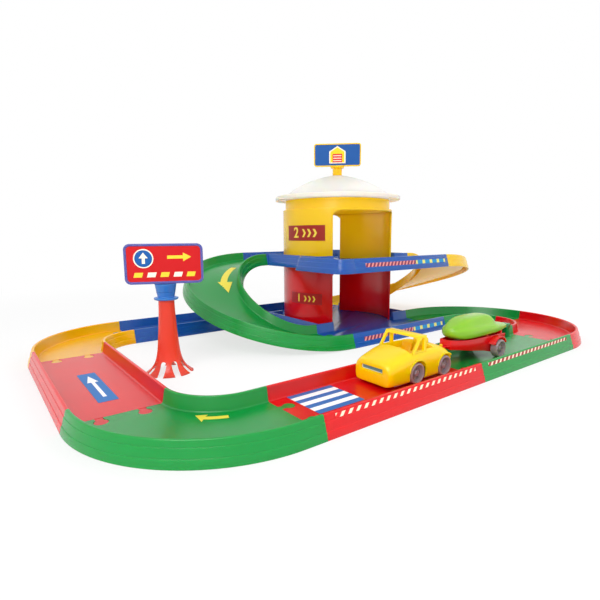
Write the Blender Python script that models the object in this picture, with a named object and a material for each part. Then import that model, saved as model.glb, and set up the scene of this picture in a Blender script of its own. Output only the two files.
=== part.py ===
# Toy parking garage: a loop of moulded road channels, two decks, two half-turn ramps, a round
# tower with a domed roof, a road sign, and a toy car towing a boat trailer.
# Metres, +Z up. The front of the layout faces -Y and its floor is z = 0.

from math import atan2, cos, pi, radians, sin, sqrt

import bmesh
import bpy
from mathutils import Matrix, Vector

# Fits
SEAM = 0.0003             # gap between two pieces that touch
RUNNING_GAP = 0.0004      # gap round a turning axle or peg
PLUG_GAP = 0.0005         # gap round a part that is pushed in by hand

# Road channel
ROAD_WIDTH = 0.116
STRAIGHT = 0.270          # length of one straight road piece
CORNER_RADIUS = 0.172     # outer edge of a road corner
CORNER_LEAD = 0.026       # straight end of the two long corners
WALL_HEIGHT = 0.024
WALL_LEAN = 0.0068        # the rim stands this far in from the wall's foot
RIM_WIDTH = 0.0036
WALL_WIDTH = 0.0136       # foot of the wall to the road surface
LOWER_MOULDING = 0.008    # heights of the two steps on the wall's outer face
UPPER_MOULDING = 0.0168
MOULDING_STEP = 0.0008
SKIN = 0.0023             # wall thickness of the road mouldings
FLOOR_TOP = 0.007
FLOOR_THICKNESS = 0.0024
CORNER_STEPS = 6
RAMP_STEPS = 12

# Jigsaw joints between road pieces
KNOB_SPACING = 0.044
KNOB_NECK_WIDTH = 0.008
KNOB_NECK_LENGTH = 0.006
KNOB_RADIUS = 0.007
KNOB_ROOT = 0.0012
KNOB_SINK = 0.0003        # the knob lies this much inside the floor's two faces

# Decks and ramps
DECK_LENGTH = 0.256
STOREY = 0.1275           # height of the upper deck above the lower one
RAMP_LEAD = 0.016
SIDE_CLEARANCE = 0.002    # between the tower and the deck's narrower side walls
CAP_REACH = 0.037         # an end cap stands this far out of the upper deck
CAP_CORNER = 0.018
CAP_SIDE = 0.097
CAP_TURN = radians(41)

# Tower
SIDE_WALL_WIDTH = 0.011   # of the deck's walls beside the tower, narrower than a road's
TOWER_WALL = 0.0022
DOOR_LINTEL = 0.005       # wall left over the lower doorways
DOOR_HALF_ANGLE = radians(45)
DOOR_CORNER = 0.015
JAMB_RADIUS = 0.0024
SHOULDER_RISE = 0.1133    # above the foot of the upper storey
SHOULDER_LINTEL = 0.0028  # wall left between the upper doorways and the shoulder
COLLAR_STEP = 0.005       # the collar above the shoulder is this much smaller
COLLAR_RISE = 0.0209
TAB_WIDTH = 0.013
TAB_DEPTH = 0.0022
TAB_ANGLE = radians(28)
TOWER_STEPS = 30          # of the tower and of the roof that sits in it

# Roof and its sign
BRIM_REACH = 0.016        # the brim stands this far out of the tower
ROOF_WALL = 0.0022
ROOF_RISE = 0.0515        # brim's underside to the flat top
ROOF_SKIRT = 0.0055
ROOF_POST_RADIUS = 0.0098
ROOF_POST_HEIGHT = 0.0195
ROOF_PEG_RADIUS = 0.006
ROOF_PEG_LENGTH = 0.009
ROOF_FLANGE_RADIUS = 0.014
ROOF_FLANGE_THICKNESS = 0.004
ROOF_SIGN_SIZE = (0.098, 0.0464, 0.006)
ROOF_SIGN_TURN = radians(-42.6)
POST_STEPS = 14           # of both sign posts

# Road sign
SIGN_PLACE = (-0.038, 0.302)
SIGN_TURN = radians(-21.8)
SIGN_FOOT_RADIUS = 0.033
SIGN_POST_RADIUS = 0.0108
SIGN_POST_HEIGHT = 0.0957
SIGN_POST_WALL = 0.0024
SIGN_PEG_RADIUS = 0.008
SIGN_PEG_LENGTH = 0.0085
SIGN_SOCKET_HEIGHT = 0.0186
SIGN_SOCKET_FLANGE = 0.0165
SIGN_BOARD_SIZE = (0.104, 0.066, 0.008)
SIGN_ARCHES = 8
ARCH_HALF_WIDTH = 0.0052
ARCH_SPRING = 0.0085      # height at which an arch starts to round
BELL_POWER = 4.2          # how fast the post's foot flares
PANEL_CORNER = 0.008
PANEL_RIM = 0.0035
PANEL_RECESS = 0.0008

# Toy car
CAR_NOSE = 0.126          # distance of the nose from the left front seam
CAR_LENGTH = 0.124
CAR_HALF_WIDTH = 0.031
CAR_FRONT_AXLE = 0.0515   # from the nose
WHEEL_BASE = 0.056
WHEEL_RADIUS = 0.0135
WHEEL_WIDTH = 0.0105
WHEEL_STEPS = 16
WHEEL_TRACK = 0.062       # over the wheels' outer faces
ARCH_GAP = 0.0026
AXLE_RADIUS = 0.0015
CAR_CLEARANCE = 0.004     # under the body
CAR_WALL = 0.0022
CAR_OFFSET = 0.009        # the car stands this far behind the middle of its road
BODY_STATIONS = (         # shares of length and half width, lift of the sill, heights of belt and top, crown
    (0.0, 0.86, 0.001, 0.026, 0.0285, 0.0006),
    (0.035, 0.95, 0.0, 0.028, 0.031, 0.001),
    (0.17, 1.0, 0.0, 0.031, 0.0365, 0.0016),
    (0.306, 1.0, 0.0, 0.036, 0.042, 0.0018),
    (0.484, 1.0, 0.0, 0.040, 0.0445, 0.0012),
    (0.806, 1.0, 0.0, 0.040, 0.0435, 0.0012),
    (0.935, 1.0, 0.0, 0.034, 0.038, 0.001),
    (1.0, 0.93, 0.003, 0.026, 0.029, 0.0006),
)
CAVITY_TOP = 0.020        # ceiling of the hollow under the body
CAVITY_FRONT = 0.010      # its ends, from the nose and from the tail
CAVITY_BACK = 0.006
COCKPIT_FRONT = 0.041     # from the nose, at the level of the wheel arches
COCKPIT_BACK = 0.086
COCKPIT_STEP = 0.002      # the cockpit's foot space is this much shorter at each end
COCKPIT_RAKE = 0.005      # its front edge leans this far
POCKET_GAP = 0.001        # from a wheel's inner face to the pocket behind it
TAIL_CUT = 0.004          # the rear arches open to the tail up to this height over the axle
HOOP_FRONT = 0.0335       # from the nose
HOOP_DEPTH = 0.0117
HOOP_FOOT = 0.0345
HOOP_TOP = 0.064
HOOP_BAR = 0.0031
HOOP_LEAN = 0.35
HOOP_INSET = 0.0024       # from the body's side
HUMP_PLACE = 0.0945       # from the nose
HUMP_PROFILE = ((0, 0.041), (0.010, 0.041), (0.0095, 0.047), (0.006, 0.0495), (0, 0.0505))
HUMP_STEPS = 12
CHASSIS_LIFT = 0.0008     # over the body's lower edge
CHASSIS_THICKNESS = 0.0025
BEARING_LENGTH = 0.010
BEARING_RISE = 0.0042     # over the axle's middle
SEAT_OUTLINE = (          # from the nose, over the cockpit floor
    (0.060, 0), (0.079, 0), (0.0815, 0.019), (0.0785, 0.020), (0.0735, 0.007), (0.060, 0.006),
)
SEAT_SPLIT = 0.004        # gap between the two backrests
SEAT_SPLIT_FOOT = 0.010

# Trailer
HITCH_REACH = 0.016       # tow pin's place behind the car's tail
HITCH_HEIGHT = 0.0296     # underside of the car's tow tongue
TONGUE_THICKNESS = 0.003
HITCH_PIN_RADIUS = 0.0022
HITCH_PIN_RISE = 0.0095   # from the tongue's underside
EYE_RADIUS = 0.0065
EYE_THICKNESS = 0.003
DRAWBAR = 0.108           # from the tow pin to the trailer's axle
TRAILER_TRACK = 0.062
FRAME_GAP = 0.0012        # between the frame and its wheels
FRAME_FRONT = 0.010       # front wall's place behind the tow pin
FRAME_TAIL = 0.030        # from the axle to the frame's end
FRAME_WALL = 0.0024
FRAME_TAPER = 0.046       # length over which the frame widens
FRAME_NOSE_HALF = 0.009   # half width at the front wall
TRAY_EASE = 0.0004        # the tray is this much thinner than the hitch eye on each face
FENDER_GAP = 0.003
FENDER_WALL = 0.0022
FENDER_INSET = 0.0015     # from the wheel's outer face
FENDER_START = radians(25)
FRAME_STATIONS = (        # share of the frame's length, height of its lower and of its upper edge
    (0.0, 0.030, 0.0435),
    (0.12, 0.0285, 0.042),
    (0.22, 0.0265, 0.0414),
    (0.32, 0.0245, 0.041),
    (0.54, 0.020, 0.0404),
    (0.68, 0.0155, 0.040),
    (0.84, 0.0150, 0.040),
    (0.90, 0.020, 0.0396),
    (1.0, 0.0325, 0.0385),
)

# Boat
KEEL_HEIGHT = 0.0405
KEEL_VEE = 0.30           # rise of the bottom over its half width
BOW_REACH = 0.095         # the bow stands this far ahead of the trailer's axle
BOAT_LENGTH = 0.148
BOAT_HALF_BEAM = 0.024
HULL_WALL = 0.0024
HULL_CHINE = 0.6          # share of the half width where the bottom turns up
HULL_STATIONS = (         # shares of length and half beam, rise of the keel, height of the side over the keel
    (0.0, 0.06, 0.0095, 0.0165),
    (0.08, 0.42, 0.0065, 0.0185),
    (0.18, 0.72, 0.0035, 0.0200),
    (0.32, 0.95, 0.0008, 0.0205),
    (0.5, 1.0, 0.0, 0.0200),
    (0.66, 0.95, 0.0, 0.0165),
    (0.83, 0.76, 0.0, 0.0120),
    (1.0, 0.46, 0.0010, 0.0085),
)
CABIN_STATIONS = (        # share of the hull's length, height over the keel
    (0.13, 0.0165), (0.17, 0.021), (0.26, 0.0295), (0.34, 0.031),
    (0.53, 0.029), (0.585, 0.022), (0.60, 0.014),
)
CABIN_FOOT = 0.0125       # over the keel, inside the hull
CABIN_HALF_WIDTH = 0.0135
WELL_STATIONS = (0.65, 0.74, 0.83, 0.90)    # shares of the hull's length
WELL_FLOOR = 0.0062       # over the keel
MOTOR_HALF_WIDTH = 0.0065
MOTOR_OUTLINE = (         # distance behind the transom, height over the keel
    (0.0, 0.0015), (0.006, -0.001), (0.007, -0.011), (0.005, -0.0165), (0.016, -0.0165),
    (0.0145, -0.002), (0.018, 0.001), (0.0165, 0.0065), (0.0, 0.0065),
)

# Places that follow from the sizes above
BACK_STRAIGHT = 2 * STRAIGHT - DECK_LENGTH
DECK_DEPTH = STRAIGHT + ROAD_WIDTH
DECK_FRONT = 2 * CORNER_RADIUS - ROAD_WIDTH
DECK_BACK = DECK_FRONT + DECK_DEPTH
DECK_RIGHT = 2 * STRAIGHT - CORNER_LEAD
DECK_LEFT = DECK_RIGHT - DECK_LENGTH
DECK_MIDDLE = (DECK_FRONT + DECK_BACK) / 2
TOWER_X = (DECK_LEFT + DECK_RIGHT) / 2
TOWER_RADIUS = DECK_LENGTH / 2 - SIDE_WALL_WIDTH - SIDE_CLEARANCE
SHOULDER_HEIGHT = STOREY + SHOULDER_RISE
TOWER_TOP = SHOULDER_HEIGHT + COLLAR_RISE
BRIM_RADIUS = TOWER_RADIUS + BRIM_REACH
RAMP_RADIUS = DECK_DEPTH / 2
LAYOUT_LEFT = -CORNER_LEAD - CORNER_RADIUS
LAYOUT_RIGHT = DECK_RIGHT + RAMP_LEAD + RAMP_RADIUS
CENTRE = Vector(((LAYOUT_LEFT + LAYOUT_RIGHT) / 2, DECK_BACK / 2, 0))
FLOOR_UNDER = FLOOR_TOP - FLOOR_THICKNESS
ROOF_SEAT = TOWER_TOP + SEAM
ROOF_TOP = ROOF_SEAT + ROOF_RISE
ROAD_MIDDLE = ROAD_WIDTH / 2
CAR_Y = ROAD_MIDDLE + CAR_OFFSET
AXLE_Z = FLOOR_TOP + WHEEL_RADIUS + SEAM
SIDE_WALL_SHARE = SIDE_WALL_WIDTH / WALL_WIDTH
CAR_TAIL = CAR_NOSE + CAR_LENGTH
HITCH_X = CAR_TAIL + HITCH_REACH
TRAILER_AXLE = HITCH_X + DRAWBAR
BOAT_BOW = TRAILER_AXLE - BOW_REACH
FRAME_HALF = TRAILER_TRACK / 2 - WHEEL_WIDTH - FRAME_GAP

COLOURS = {
    "red": (0.93, 0.11, 0.14),
    "green": (0.05, 0.60, 0.28),
    "blue": (0.13, 0.38, 0.68),
    "yellow": (0.99, 0.78, 0.04),
    "amber": (0.99, 0.70, 0.06),
    "frosted": (0.90, 0.90, 0.88),
    "orange": (0.91, 0.27, 0.17),
    "sky": (0.18, 0.45, 0.75),
    "violet": (0.35, 0.37, 0.66),
    "lime": (0.60, 0.80, 0.23),
    "bottle": (0.07, 0.50, 0.25),
    "mauve": (0.55, 0.49, 0.50),
    "steel": (0.60, 0.61, 0.63),
}


def clear_scene():
    for item in list(bpy.data.objects):
        bpy.data.objects.remove(item, do_unlink=True)


def plastic(colour):
    name = "plastic_" + colour
    if name in bpy.data.materials:
        return bpy.data.materials[name]
    material = bpy.data.materials.new(name)
    material.use_nodes = True
    shader = material.node_tree.nodes["Principled BSDF"]
    shader.inputs["Base Color"].default_value = (*[c ** 2.2 for c in COLOURS[colour]], 1)
    shader.inputs["Roughness"].default_value = 0.25 if colour == "steel" else 0.32
    shader.inputs["Metallic"].default_value = 1.0 if colour == "steel" else 0.0
    material.diffuse_color = (*COLOURS[colour], 1)
    return material


def add_object(name, form, colour, smooth=35):
    bmesh.ops.recalc_face_normals(form, faces=form.faces)
    mesh = bpy.data.meshes.new(name)
    form.to_mesh(mesh)
    form.free()
    mesh.shade_smooth()
    mesh.set_sharp_from_angle(angle=radians(smooth))
    mesh.materials.append(plastic(colour))
    item = bpy.data.objects.new(name, mesh)
    bpy.context.scene.collection.objects.link(item)
    return item


def set_origin(item, point):
    shift = Vector(point)
    item.data.transform(Matrix.Translation(-shift))
    item.location = shift


def combine(item, tools, operation):
    for tool in tools:
        modifier = item.modifiers.new(operation.lower(), "BOOLEAN")
        modifier.operation = operation
        modifier.solver = "EXACT"
        modifier.object = tool
        with bpy.context.temp_override(object=item, active_object=item, selected_objects=[item]):
            bpy.ops.object.modifier_apply(modifier=modifier.name)
        bpy.data.objects.remove(tool, do_unlink=True)
    item.data.set_sharp_from_angle(angle=radians(35))
    return item


def join(item, tools):
    return combine(item, tools, "UNION")


def cut(item, tools):
    return combine(item, tools, "DIFFERENCE")


def loft(rings):
    """Skin rings of points and cap both ends."""
    form = bmesh.new()
    layers = [[form.verts.new(point) for point in ring] for ring in rings]
    count = len(rings[0])
    for lower, upper in zip(layers, layers[1:]):
        for k in range(count):
            n = (k + 1) % count
            form.faces.new((lower[k], lower[n], upper[n], upper[k]))
    form.faces.new(layers[0])
    form.faces.new(layers[-1])
    return form


def faceted(form):
    """Split warped faces into flat triangles, so that later cuts stay exact."""
    bmesh.ops.triangulate(form, faces=form.faces)
    return form


def prism(outline, low, high):
    """An upright prism from plan points."""
    return loft([[(x, y, z) for x, y in outline] for z in (low, high)])


def block(low, high):
    (x0, y0, z0), (x1, y1, z1) = low, high
    return prism([(x0, y0), (x1, y0), (x1, y1), (x0, y1)], z0, z1)


def side_prism(outline, y0, y1):
    """A prism across the layout from points in the X-Z plane."""
    return loft([[(x, y, z) for x, z in outline] for y in (y0, y1)])


def turned(profile, centre, steps):
    """Revolve (radius, height) points; ends on the axis become poles."""
    form = bmesh.new()
    verts = {}

    def vertex(i, k):
        r, z = profile[i]
        key = (i, 0 if r == 0 else k % steps)
        if key not in verts:
            a = 2 * pi * key[1] / steps
            verts[key] = form.verts.new((centre[0] + r * cos(a), centre[1] + r * sin(a), z))
        return verts[key]

    on_axis = profile[0][0] == 0
    spans = len(profile) - 1 if on_axis else len(profile)
    for k in range(steps):
        for i in range(spans):
            j = (i + 1) % len(profile)
            corners = [vertex(i, k), vertex(j, k), vertex(j, k + 1), vertex(i, k + 1)]
            distinct = list(dict.fromkeys(corners))
            form.faces.new(distinct)
    return form


def cross_turned(profile, centre, steps):
    """Revolve (radius, y) points about an axis that runs across the layout."""
    form = turned(profile, (0, 0), steps)
    turn = Matrix.Rotation(-pi / 2, 4, "X")
    bmesh.ops.transform(form, matrix=Matrix.Translation(centre) @ turn, verts=form.verts)
    return form


def arc(centre, radius, start, end, steps):
    """Plan points along a circular arc, ends included."""
    turn = (end - start) / steps
    return [(centre[0] + radius * cos(start + turn * k), centre[1] + radius * sin(start + turn * k))
            for k in range(steps + 1)]


# Road channels

def wall_face():
    """The outer face and rim of a wall: distance in from its foot, and height."""
    slope = (WALL_LEAN - 2 * MOULDING_STEP) / WALL_HEIGHT
    round_over = 0.0007

    def on_face(height, steps):
        return (slope * height + steps * MOULDING_STEP, height)

    return [
        on_face(0, 0),
        on_face(LOWER_MOULDING, 0),
        on_face(LOWER_MOULDING + round_over, 1),
        on_face(UPPER_MOULDING, 1),
        on_face(UPPER_MOULDING + round_over, 2),
        (WALL_LEAN, WALL_HEIGHT),
        (WALL_LEAN + RIM_WIDTH, WALL_HEIGHT),
        (WALL_WIDTH, FLOOR_TOP),
    ]


def wall_hollow():
    """The open space inside a wall, from its outer skin over to its inner skin."""
    return [
        (SKIN, 0),
        (WALL_LEAN + 0.8 * SKIN, WALL_HEIGHT - SKIN),
        (WALL_LEAN + RIM_WIDTH, WALL_HEIGHT - SKIN),
        (WALL_WIDTH - 0.8 * SKIN, FLOOR_UNDER),
    ]


def channel(width):
    """Closed cross-section of a road moulding, outer wall first."""
    top = wall_face()
    under = wall_hollow()
    far_top = [(width - u, v) for u, v in reversed(top)]
    far_under = [(width - u, v) for u, v in under]
    return top + far_top + far_under + list(reversed(under))


def run(start, heading, legs, side):
    """Stations along an edge. A leg is (length, 0), or (angle, radius) for a bend to the side."""
    place = Vector(start)
    stations = [(place.copy(), heading)]
    for amount, radius in legs:
        if radius == 0:
            place = place + amount * Vector((cos(heading), sin(heading)))
            stations.append((place.copy(), heading))
            continue
        steps = RAMP_STEPS if amount == pi else CORNER_STEPS
        if radius < ROAD_WIDTH:
            steps = 3
        centre = place + radius * Vector((-sin(heading), cos(heading))) * side
        first = place - centre
        for k in range(1, steps + 1):
            turn = side * amount * k / steps
            spot = centre + Matrix.Rotation(turn, 2) @ first
            stations.append((spot, heading + turn))
        place = stations[-1][0].copy()
        heading = stations[-1][1]
    return stations


def trim(stations):
    """Draw both ends in by half a seam."""
    ends = []
    for index, direction in ((0, 1), (-1, -1)):
        place, heading = stations[index]
        ends.append((place + direction * SEAM / 2 * Vector((cos(heading), sin(heading))), heading))
    return [ends[0]] + stations[1:-1] + [ends[1]]


def sweep(section, stations, side, heights):
    rings = []
    for (place, heading), height in zip(stations, heights):
        across = Vector((-sin(heading), cos(heading))) * side
        rings.append([(place.x + across.x * u, place.y + across.y * u, height + v) for u, v in section])
    return loft(rings)


def knob_outline(grow):
    """Plan of one jigsaw knob: distance past the seam, and across."""
    half = KNOB_NECK_WIDTH / 2 + grow
    radius = KNOB_RADIUS + grow
    centre = KNOB_NECK_LENGTH + sqrt(KNOB_RADIUS ** 2 - (KNOB_NECK_WIDTH / 2) ** 2)
    open_angle = pi - atan2(half, sqrt(radius ** 2 - half ** 2))
    head = arc((centre, 0), radius, -open_angle, open_angle, 5)
    return [(-KNOB_ROOT, -half)] + head + [(-KNOB_ROOT, half)]


def knob_prisms(joint, grow, low, high):
    """The two knobs of a joint, or with grow their sockets."""
    (place, heading), side, height = joint
    along = Vector((cos(heading), sin(heading)))
    across = Vector((-sin(heading), cos(heading))) * side
    tools = []
    for offset in (-KNOB_SPACING / 2, KNOB_SPACING / 2):
        middle = place + across * (ROAD_MIDDLE + offset)
        outline = [tuple(middle + along * a + across * b) for a, b in knob_outline(grow)]
        form = prism(outline, height + low, height + high)
        tools.append(add_object("knob", form, "steel"))
    return tools


def add_knobs(item, joint):
    join(item, knob_prisms(joint, 0, FLOOR_UNDER + KNOB_SINK, FLOOR_TOP - KNOB_SINK))


def cut_sockets(item, joint):
    cut(item, knob_prisms(joint, SEAM, -0.001, FLOOR_TOP + 0.001))


def about_face(joint):
    """The same seam seen from the other piece."""
    (place, heading), side, height = joint
    return ((place, heading + pi), -side, height)


def build_loop():
    """Walk round the loop from the deck's back left road end to its front right one."""
    quarter = (pi / 2, CORNER_RADIUS)
    pieces = [
        ("road_straight_back", "blue", [(BACK_STRAIGHT, 0)]),
        ("road_corner_back_left", "amber", [quarter]),
        ("road_straight_left", "red", [(STRAIGHT, 0)]),
        ("road_corner_front_left", "green", [quarter, (CORNER_LEAD, 0)]),
        ("road_straight_front", "red", [(STRAIGHT, 0)]),
        ("road_straight_front_right", "green", [(STRAIGHT, 0)]),
        ("road_corner_right", "red", [quarter]),
        ("road_corner_back_right", "green", [quarter, (CORNER_LEAD, 0)]),
    ]
    place = Vector((DECK_LEFT, DECK_BACK))
    heading = pi
    for name, colour, legs in pieces:
        stations = run(place, heading, legs, 1)
        form = sweep(channel(ROAD_WIDTH), trim(stations), 1, [0] * len(stations))
        road = add_object(name, form, colour)
        cut_sockets(road, (stations[0], 1, 0))
        add_knobs(road, (stations[-1], 1, 0))
        place, heading = stations[-1]


def deck_joints(height):
    """Seams at the deck's four road ends, each heading out of the deck."""
    return {
        "back_left": ((Vector((DECK_LEFT, DECK_BACK)), pi), 1, height),
        "front_left": ((Vector((DECK_LEFT, DECK_FRONT)), pi), -1, height),
        "front_right": ((Vector((DECK_RIGHT, DECK_FRONT)), 0), 1, height),
        "back_right": ((Vector((DECK_RIGHT, DECK_BACK)), 0), -1, height),
    }


def wall_between(start, end, side, height, share, hollow):
    """A straight wall along an edge, or with hollow the space inside it."""
    run_line = Vector(end) - Vector(start)
    heading = atan2(run_line.y, run_line.x)
    stations = [(Vector(start), heading), (Vector(end), heading)]
    if hollow:
        inside = wall_hollow()
        section = [(inside[0][0], -SKIN), inside[1], inside[2], (inside[3][0], -SKIN)]
    else:
        foot = FLOOR_UNDER + KNOB_SINK
        section = wall_face() + [(WALL_WIDTH, foot), (1.3 * SKIN, foot), (1.3 * SKIN, 0)]
    section = [(u * share, v) for u, v in section]
    return add_object("wall", sweep(section, stations, side, [height, height]), "blue")


def build_deck(name, height, lower):
    stations = trim(run((DECK_LEFT, DECK_FRONT), 0, [(DECK_LENGTH, 0)], 1))
    deck = add_object(name, sweep(channel(DECK_DEPTH), stations, 1, [height, height]), "blue")
    left, right = stations[0][0].x, stations[1][0].x
    inner_front = DECK_FRONT + ROAD_WIDTH
    inner_back = DECK_BACK - ROAD_WIDTH
    notch = 3 * SKIN
    notches = []
    for x in (left, right):
        low = (x - notch, inner_front - notch, height - notch)
        high = (x + notch, inner_back + notch, height + WALL_HEIGHT)
        notches.append(add_object("notch", block(low, high), "blue"))
    cut(deck, notches)
    half_chord = (inner_back - inner_front) / 2
    reach = TOWER_X - left - sqrt(TOWER_RADIUS ** 2 - half_chord ** 2) - SEAM
    rim_in = WALL_LEAN + RIM_WIDTH - SEAM
    walls = []
    hollows = []
    for x, inward, side in ((left, 1, 1), (right, -1, -1)):
        front_end = (x + inward * reach, inner_front)
        back_end = (x + inward * reach, inner_back)
        # Each wall: start, end, side of its body, share of a road wall's width, hollow's end margins
        spans = [
            ((x, inner_front), front_end, -side, 1, -SKIN, SKIN),
            ((x, inner_back), back_end, side, 1, -SKIN, SKIN),
            ((x, inner_front - rim_in), (x, inner_back + rim_in), -side, SIDE_WALL_SHARE, SKIN, SKIN),
        ]
        for start, end, body_side, share, short_start, short_end in spans:
            walls.append(wall_between(start, end, body_side, height, share, False))
            line = (Vector(end) - Vector(start)).normalized()
            inner_start = Vector(start) + line * short_start
            inner_end = Vector(end) - line * short_end
            hollows.append(wall_between(inner_start, inner_end, body_side, height, share, True))
    join(deck, walls)
    cut(deck, hollows)
    joints = deck_joints(height)
    for end, joint in joints.items():
        if lower and end == "back_left":
            add_knobs(deck, joint)
        else:
            cut_sockets(deck, about_face(joint))
    slots = []
    for angle in tab_angles():
        slots.append(tab(angle, SEAM, height - SKIN, height + FLOOR_TOP + SKIN))
    cut(deck, slots)
    return deck


def build_end_cap(name, joint):
    """A walled end that closes a road end of the upper deck."""
    (place, heading), side, height = joint
    out = CAP_REACH - CAP_CORNER
    across_left = CAP_REACH - CAP_CORNER * (1 - cos(CAP_TURN))
    last = across_left / sin(CAP_TURN) + WALL_WIDTH
    legs = [(out, 0), (pi / 2, CAP_CORNER), (CAP_SIDE, 0), (CAP_TURN, CAP_CORNER), (last, 0)]
    stations = run(place, heading, legs, side)
    lip = WALL_WIDTH + SKIN
    section = wall_face() + [(lip, FLOOR_TOP), (lip, FLOOR_UNDER)] + list(reversed(wall_hollow()))
    cap = add_object(name, sweep(section, stations, side, [height] * len(stations)), "blue")
    outline = []
    for spot, direction in stations:
        across = Vector((-sin(direction), cos(direction))) * side
        outline.append(tuple(spot + across * (lip - SEAM)))
    plate = prism(outline, height + FLOOR_UNDER, height + FLOOR_TOP)
    join(cap, [add_object("plate", plate, "blue")])
    out_sign = cos(heading)
    edge = place.x + out_sign * SEAM / 2
    far = place.x - out_sign * 4 * CAP_REACH
    low = (min(edge, far), DECK_FRONT - SKIN, height - SKIN)
    high = (max(edge, far), DECK_BACK + SKIN, height + WALL_HEIGHT + SKIN)
    cut(cap, [add_object("trim", block(low, high), "blue")])
    add_knobs(cap, about_face(joint))
    return cap


def build_ramp(name, colour, foot, top):
    """A half-turn ramp between two deck ends; foot and top are the deck's joints."""
    (place, heading), side, low = foot
    legs = [(RAMP_LEAD, 0), (pi, RAMP_RADIUS), (RAMP_LEAD, 0)]
    stations = run(place, heading, legs, side)
    middle_radius = RAMP_RADIUS - ROAD_MIDDLE
    arc_length = pi * middle_radius
    total = 2 * RAMP_LEAD + arc_length
    heights = []
    for k in range(len(stations)):
        on_arc = min(max(k - 1, 0), RAMP_STEPS) / RAMP_STEPS
        travelled = RAMP_LEAD * min(k, 1) + arc_length * on_arc + RAMP_LEAD * (k > RAMP_STEPS + 1)
        t = travelled / total
        heights.append(low + STOREY * (3 * t ** 2 - 2 * t ** 3))
    ramp = add_object(name, sweep(channel(ROAD_WIDTH), trim(stations), side, heights), colour)
    add_knobs(ramp, about_face(foot))
    add_knobs(ramp, about_face(top))
    return ramp


# Tower

def tab_angles():
    angles = []
    for middle in (0, pi):
        angles += [middle - TAB_ANGLE, middle + TAB_ANGLE]
    return angles


def tab(angle, grow, low, high):
    """A flat tab under the tower wall, or with grow the slot that takes it."""
    inner = TOWER_RADIUS - TOWER_WALL + SEAM - grow
    outer = TOWER_RADIUS - SEAM + grow
    half = TAB_WIDTH / 2 + grow
    outline = []
    for along, out in ((-half, inner), (half, inner), (half, outer), (-half, outer)):
        spot = Matrix.Rotation(angle, 2) @ Vector((out, along))
        outline.append((TOWER_X + spot.x, DECK_MIDDLE + spot.y))
    return add_object("tab", prism(outline, low, high), "red")


def doorway(low, high):
    half = TOWER_RADIUS * sin(DOOR_HALF_ANGLE)
    left = TOWER_X - half
    right = TOWER_X + half
    top = high - DOOR_CORNER
    outline = [(left, low), (right, low)]
    outline += arc((right - DOOR_CORNER, top), DOOR_CORNER, 0, pi / 2, 4)
    outline += arc((left + DOOR_CORNER, top), DOOR_CORNER, pi / 2, pi, 4)
    far = 2 * TOWER_RADIUS
    return side_prism(outline, DECK_MIDDLE - far, DECK_MIDDLE + far)


def build_tower(name, colour, profile, base, door_top):
    tower = add_object(name, turned(profile, (TOWER_X, DECK_MIDDLE), TOWER_STEPS), colour)
    cut(tower, [add_object("door", doorway(base - SKIN, door_top), colour)])
    fittings = []
    for angle in tab_angles():
        fittings.append(tab(angle, 0, base - TAB_DEPTH, base + SKIN))
    jamb_ring = TOWER_RADIUS - TOWER_WALL / 2
    for quarter in range(4):
        angle = DOOR_HALF_ANGLE + quarter * pi / 2
        spot = (TOWER_X + jamb_ring * cos(angle), DECK_MIDDLE + jamb_ring * sin(angle))
        bead = [(0, base), (JAMB_RADIUS, base), (JAMB_RADIUS, door_top), (0, door_top)]
        fittings.append(add_object("jamb", turned(bead, spot, 8), colour))
    join(tower, fittings)
    return tower


def build_towers():
    inner = TOWER_RADIUS - TOWER_WALL
    base = FLOOR_TOP + SEAM
    top = STOREY + FLOOR_UNDER - SEAM
    lower = [(inner, base), (TOWER_RADIUS, base), (TOWER_RADIUS, top), (inner, top)]
    build_tower("lower_tower", "red", lower, base, STOREY - DOOR_LINTEL)
    base = STOREY + FLOOR_TOP + SEAM
    ease = COLLAR_STEP / 3
    upper = [
        (inner, base),
        (TOWER_RADIUS, base),
        (TOWER_RADIUS, SHOULDER_HEIGHT),
        (TOWER_RADIUS - ease, SHOULDER_HEIGHT + ease),
        (TOWER_RADIUS - COLLAR_STEP, SHOULDER_HEIGHT + ease),
        (TOWER_RADIUS - COLLAR_STEP, TOWER_TOP),
        (inner - COLLAR_STEP, TOWER_TOP),
        (inner - COLLAR_STEP, SHOULDER_HEIGHT - ease),
        (inner, SHOULDER_HEIGHT - ease),
    ]
    build_tower("upper_tower", "yellow", upper, base, SHOULDER_HEIGHT - SHOULDER_LINTEL)


def dome_height(radius):
    """Rise of the roof's outer face over its brim, a shallow dome."""
    share = radius / BRIM_RADIUS
    return ROOF_RISE * (1 - share ** 2) ** 0.62


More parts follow.
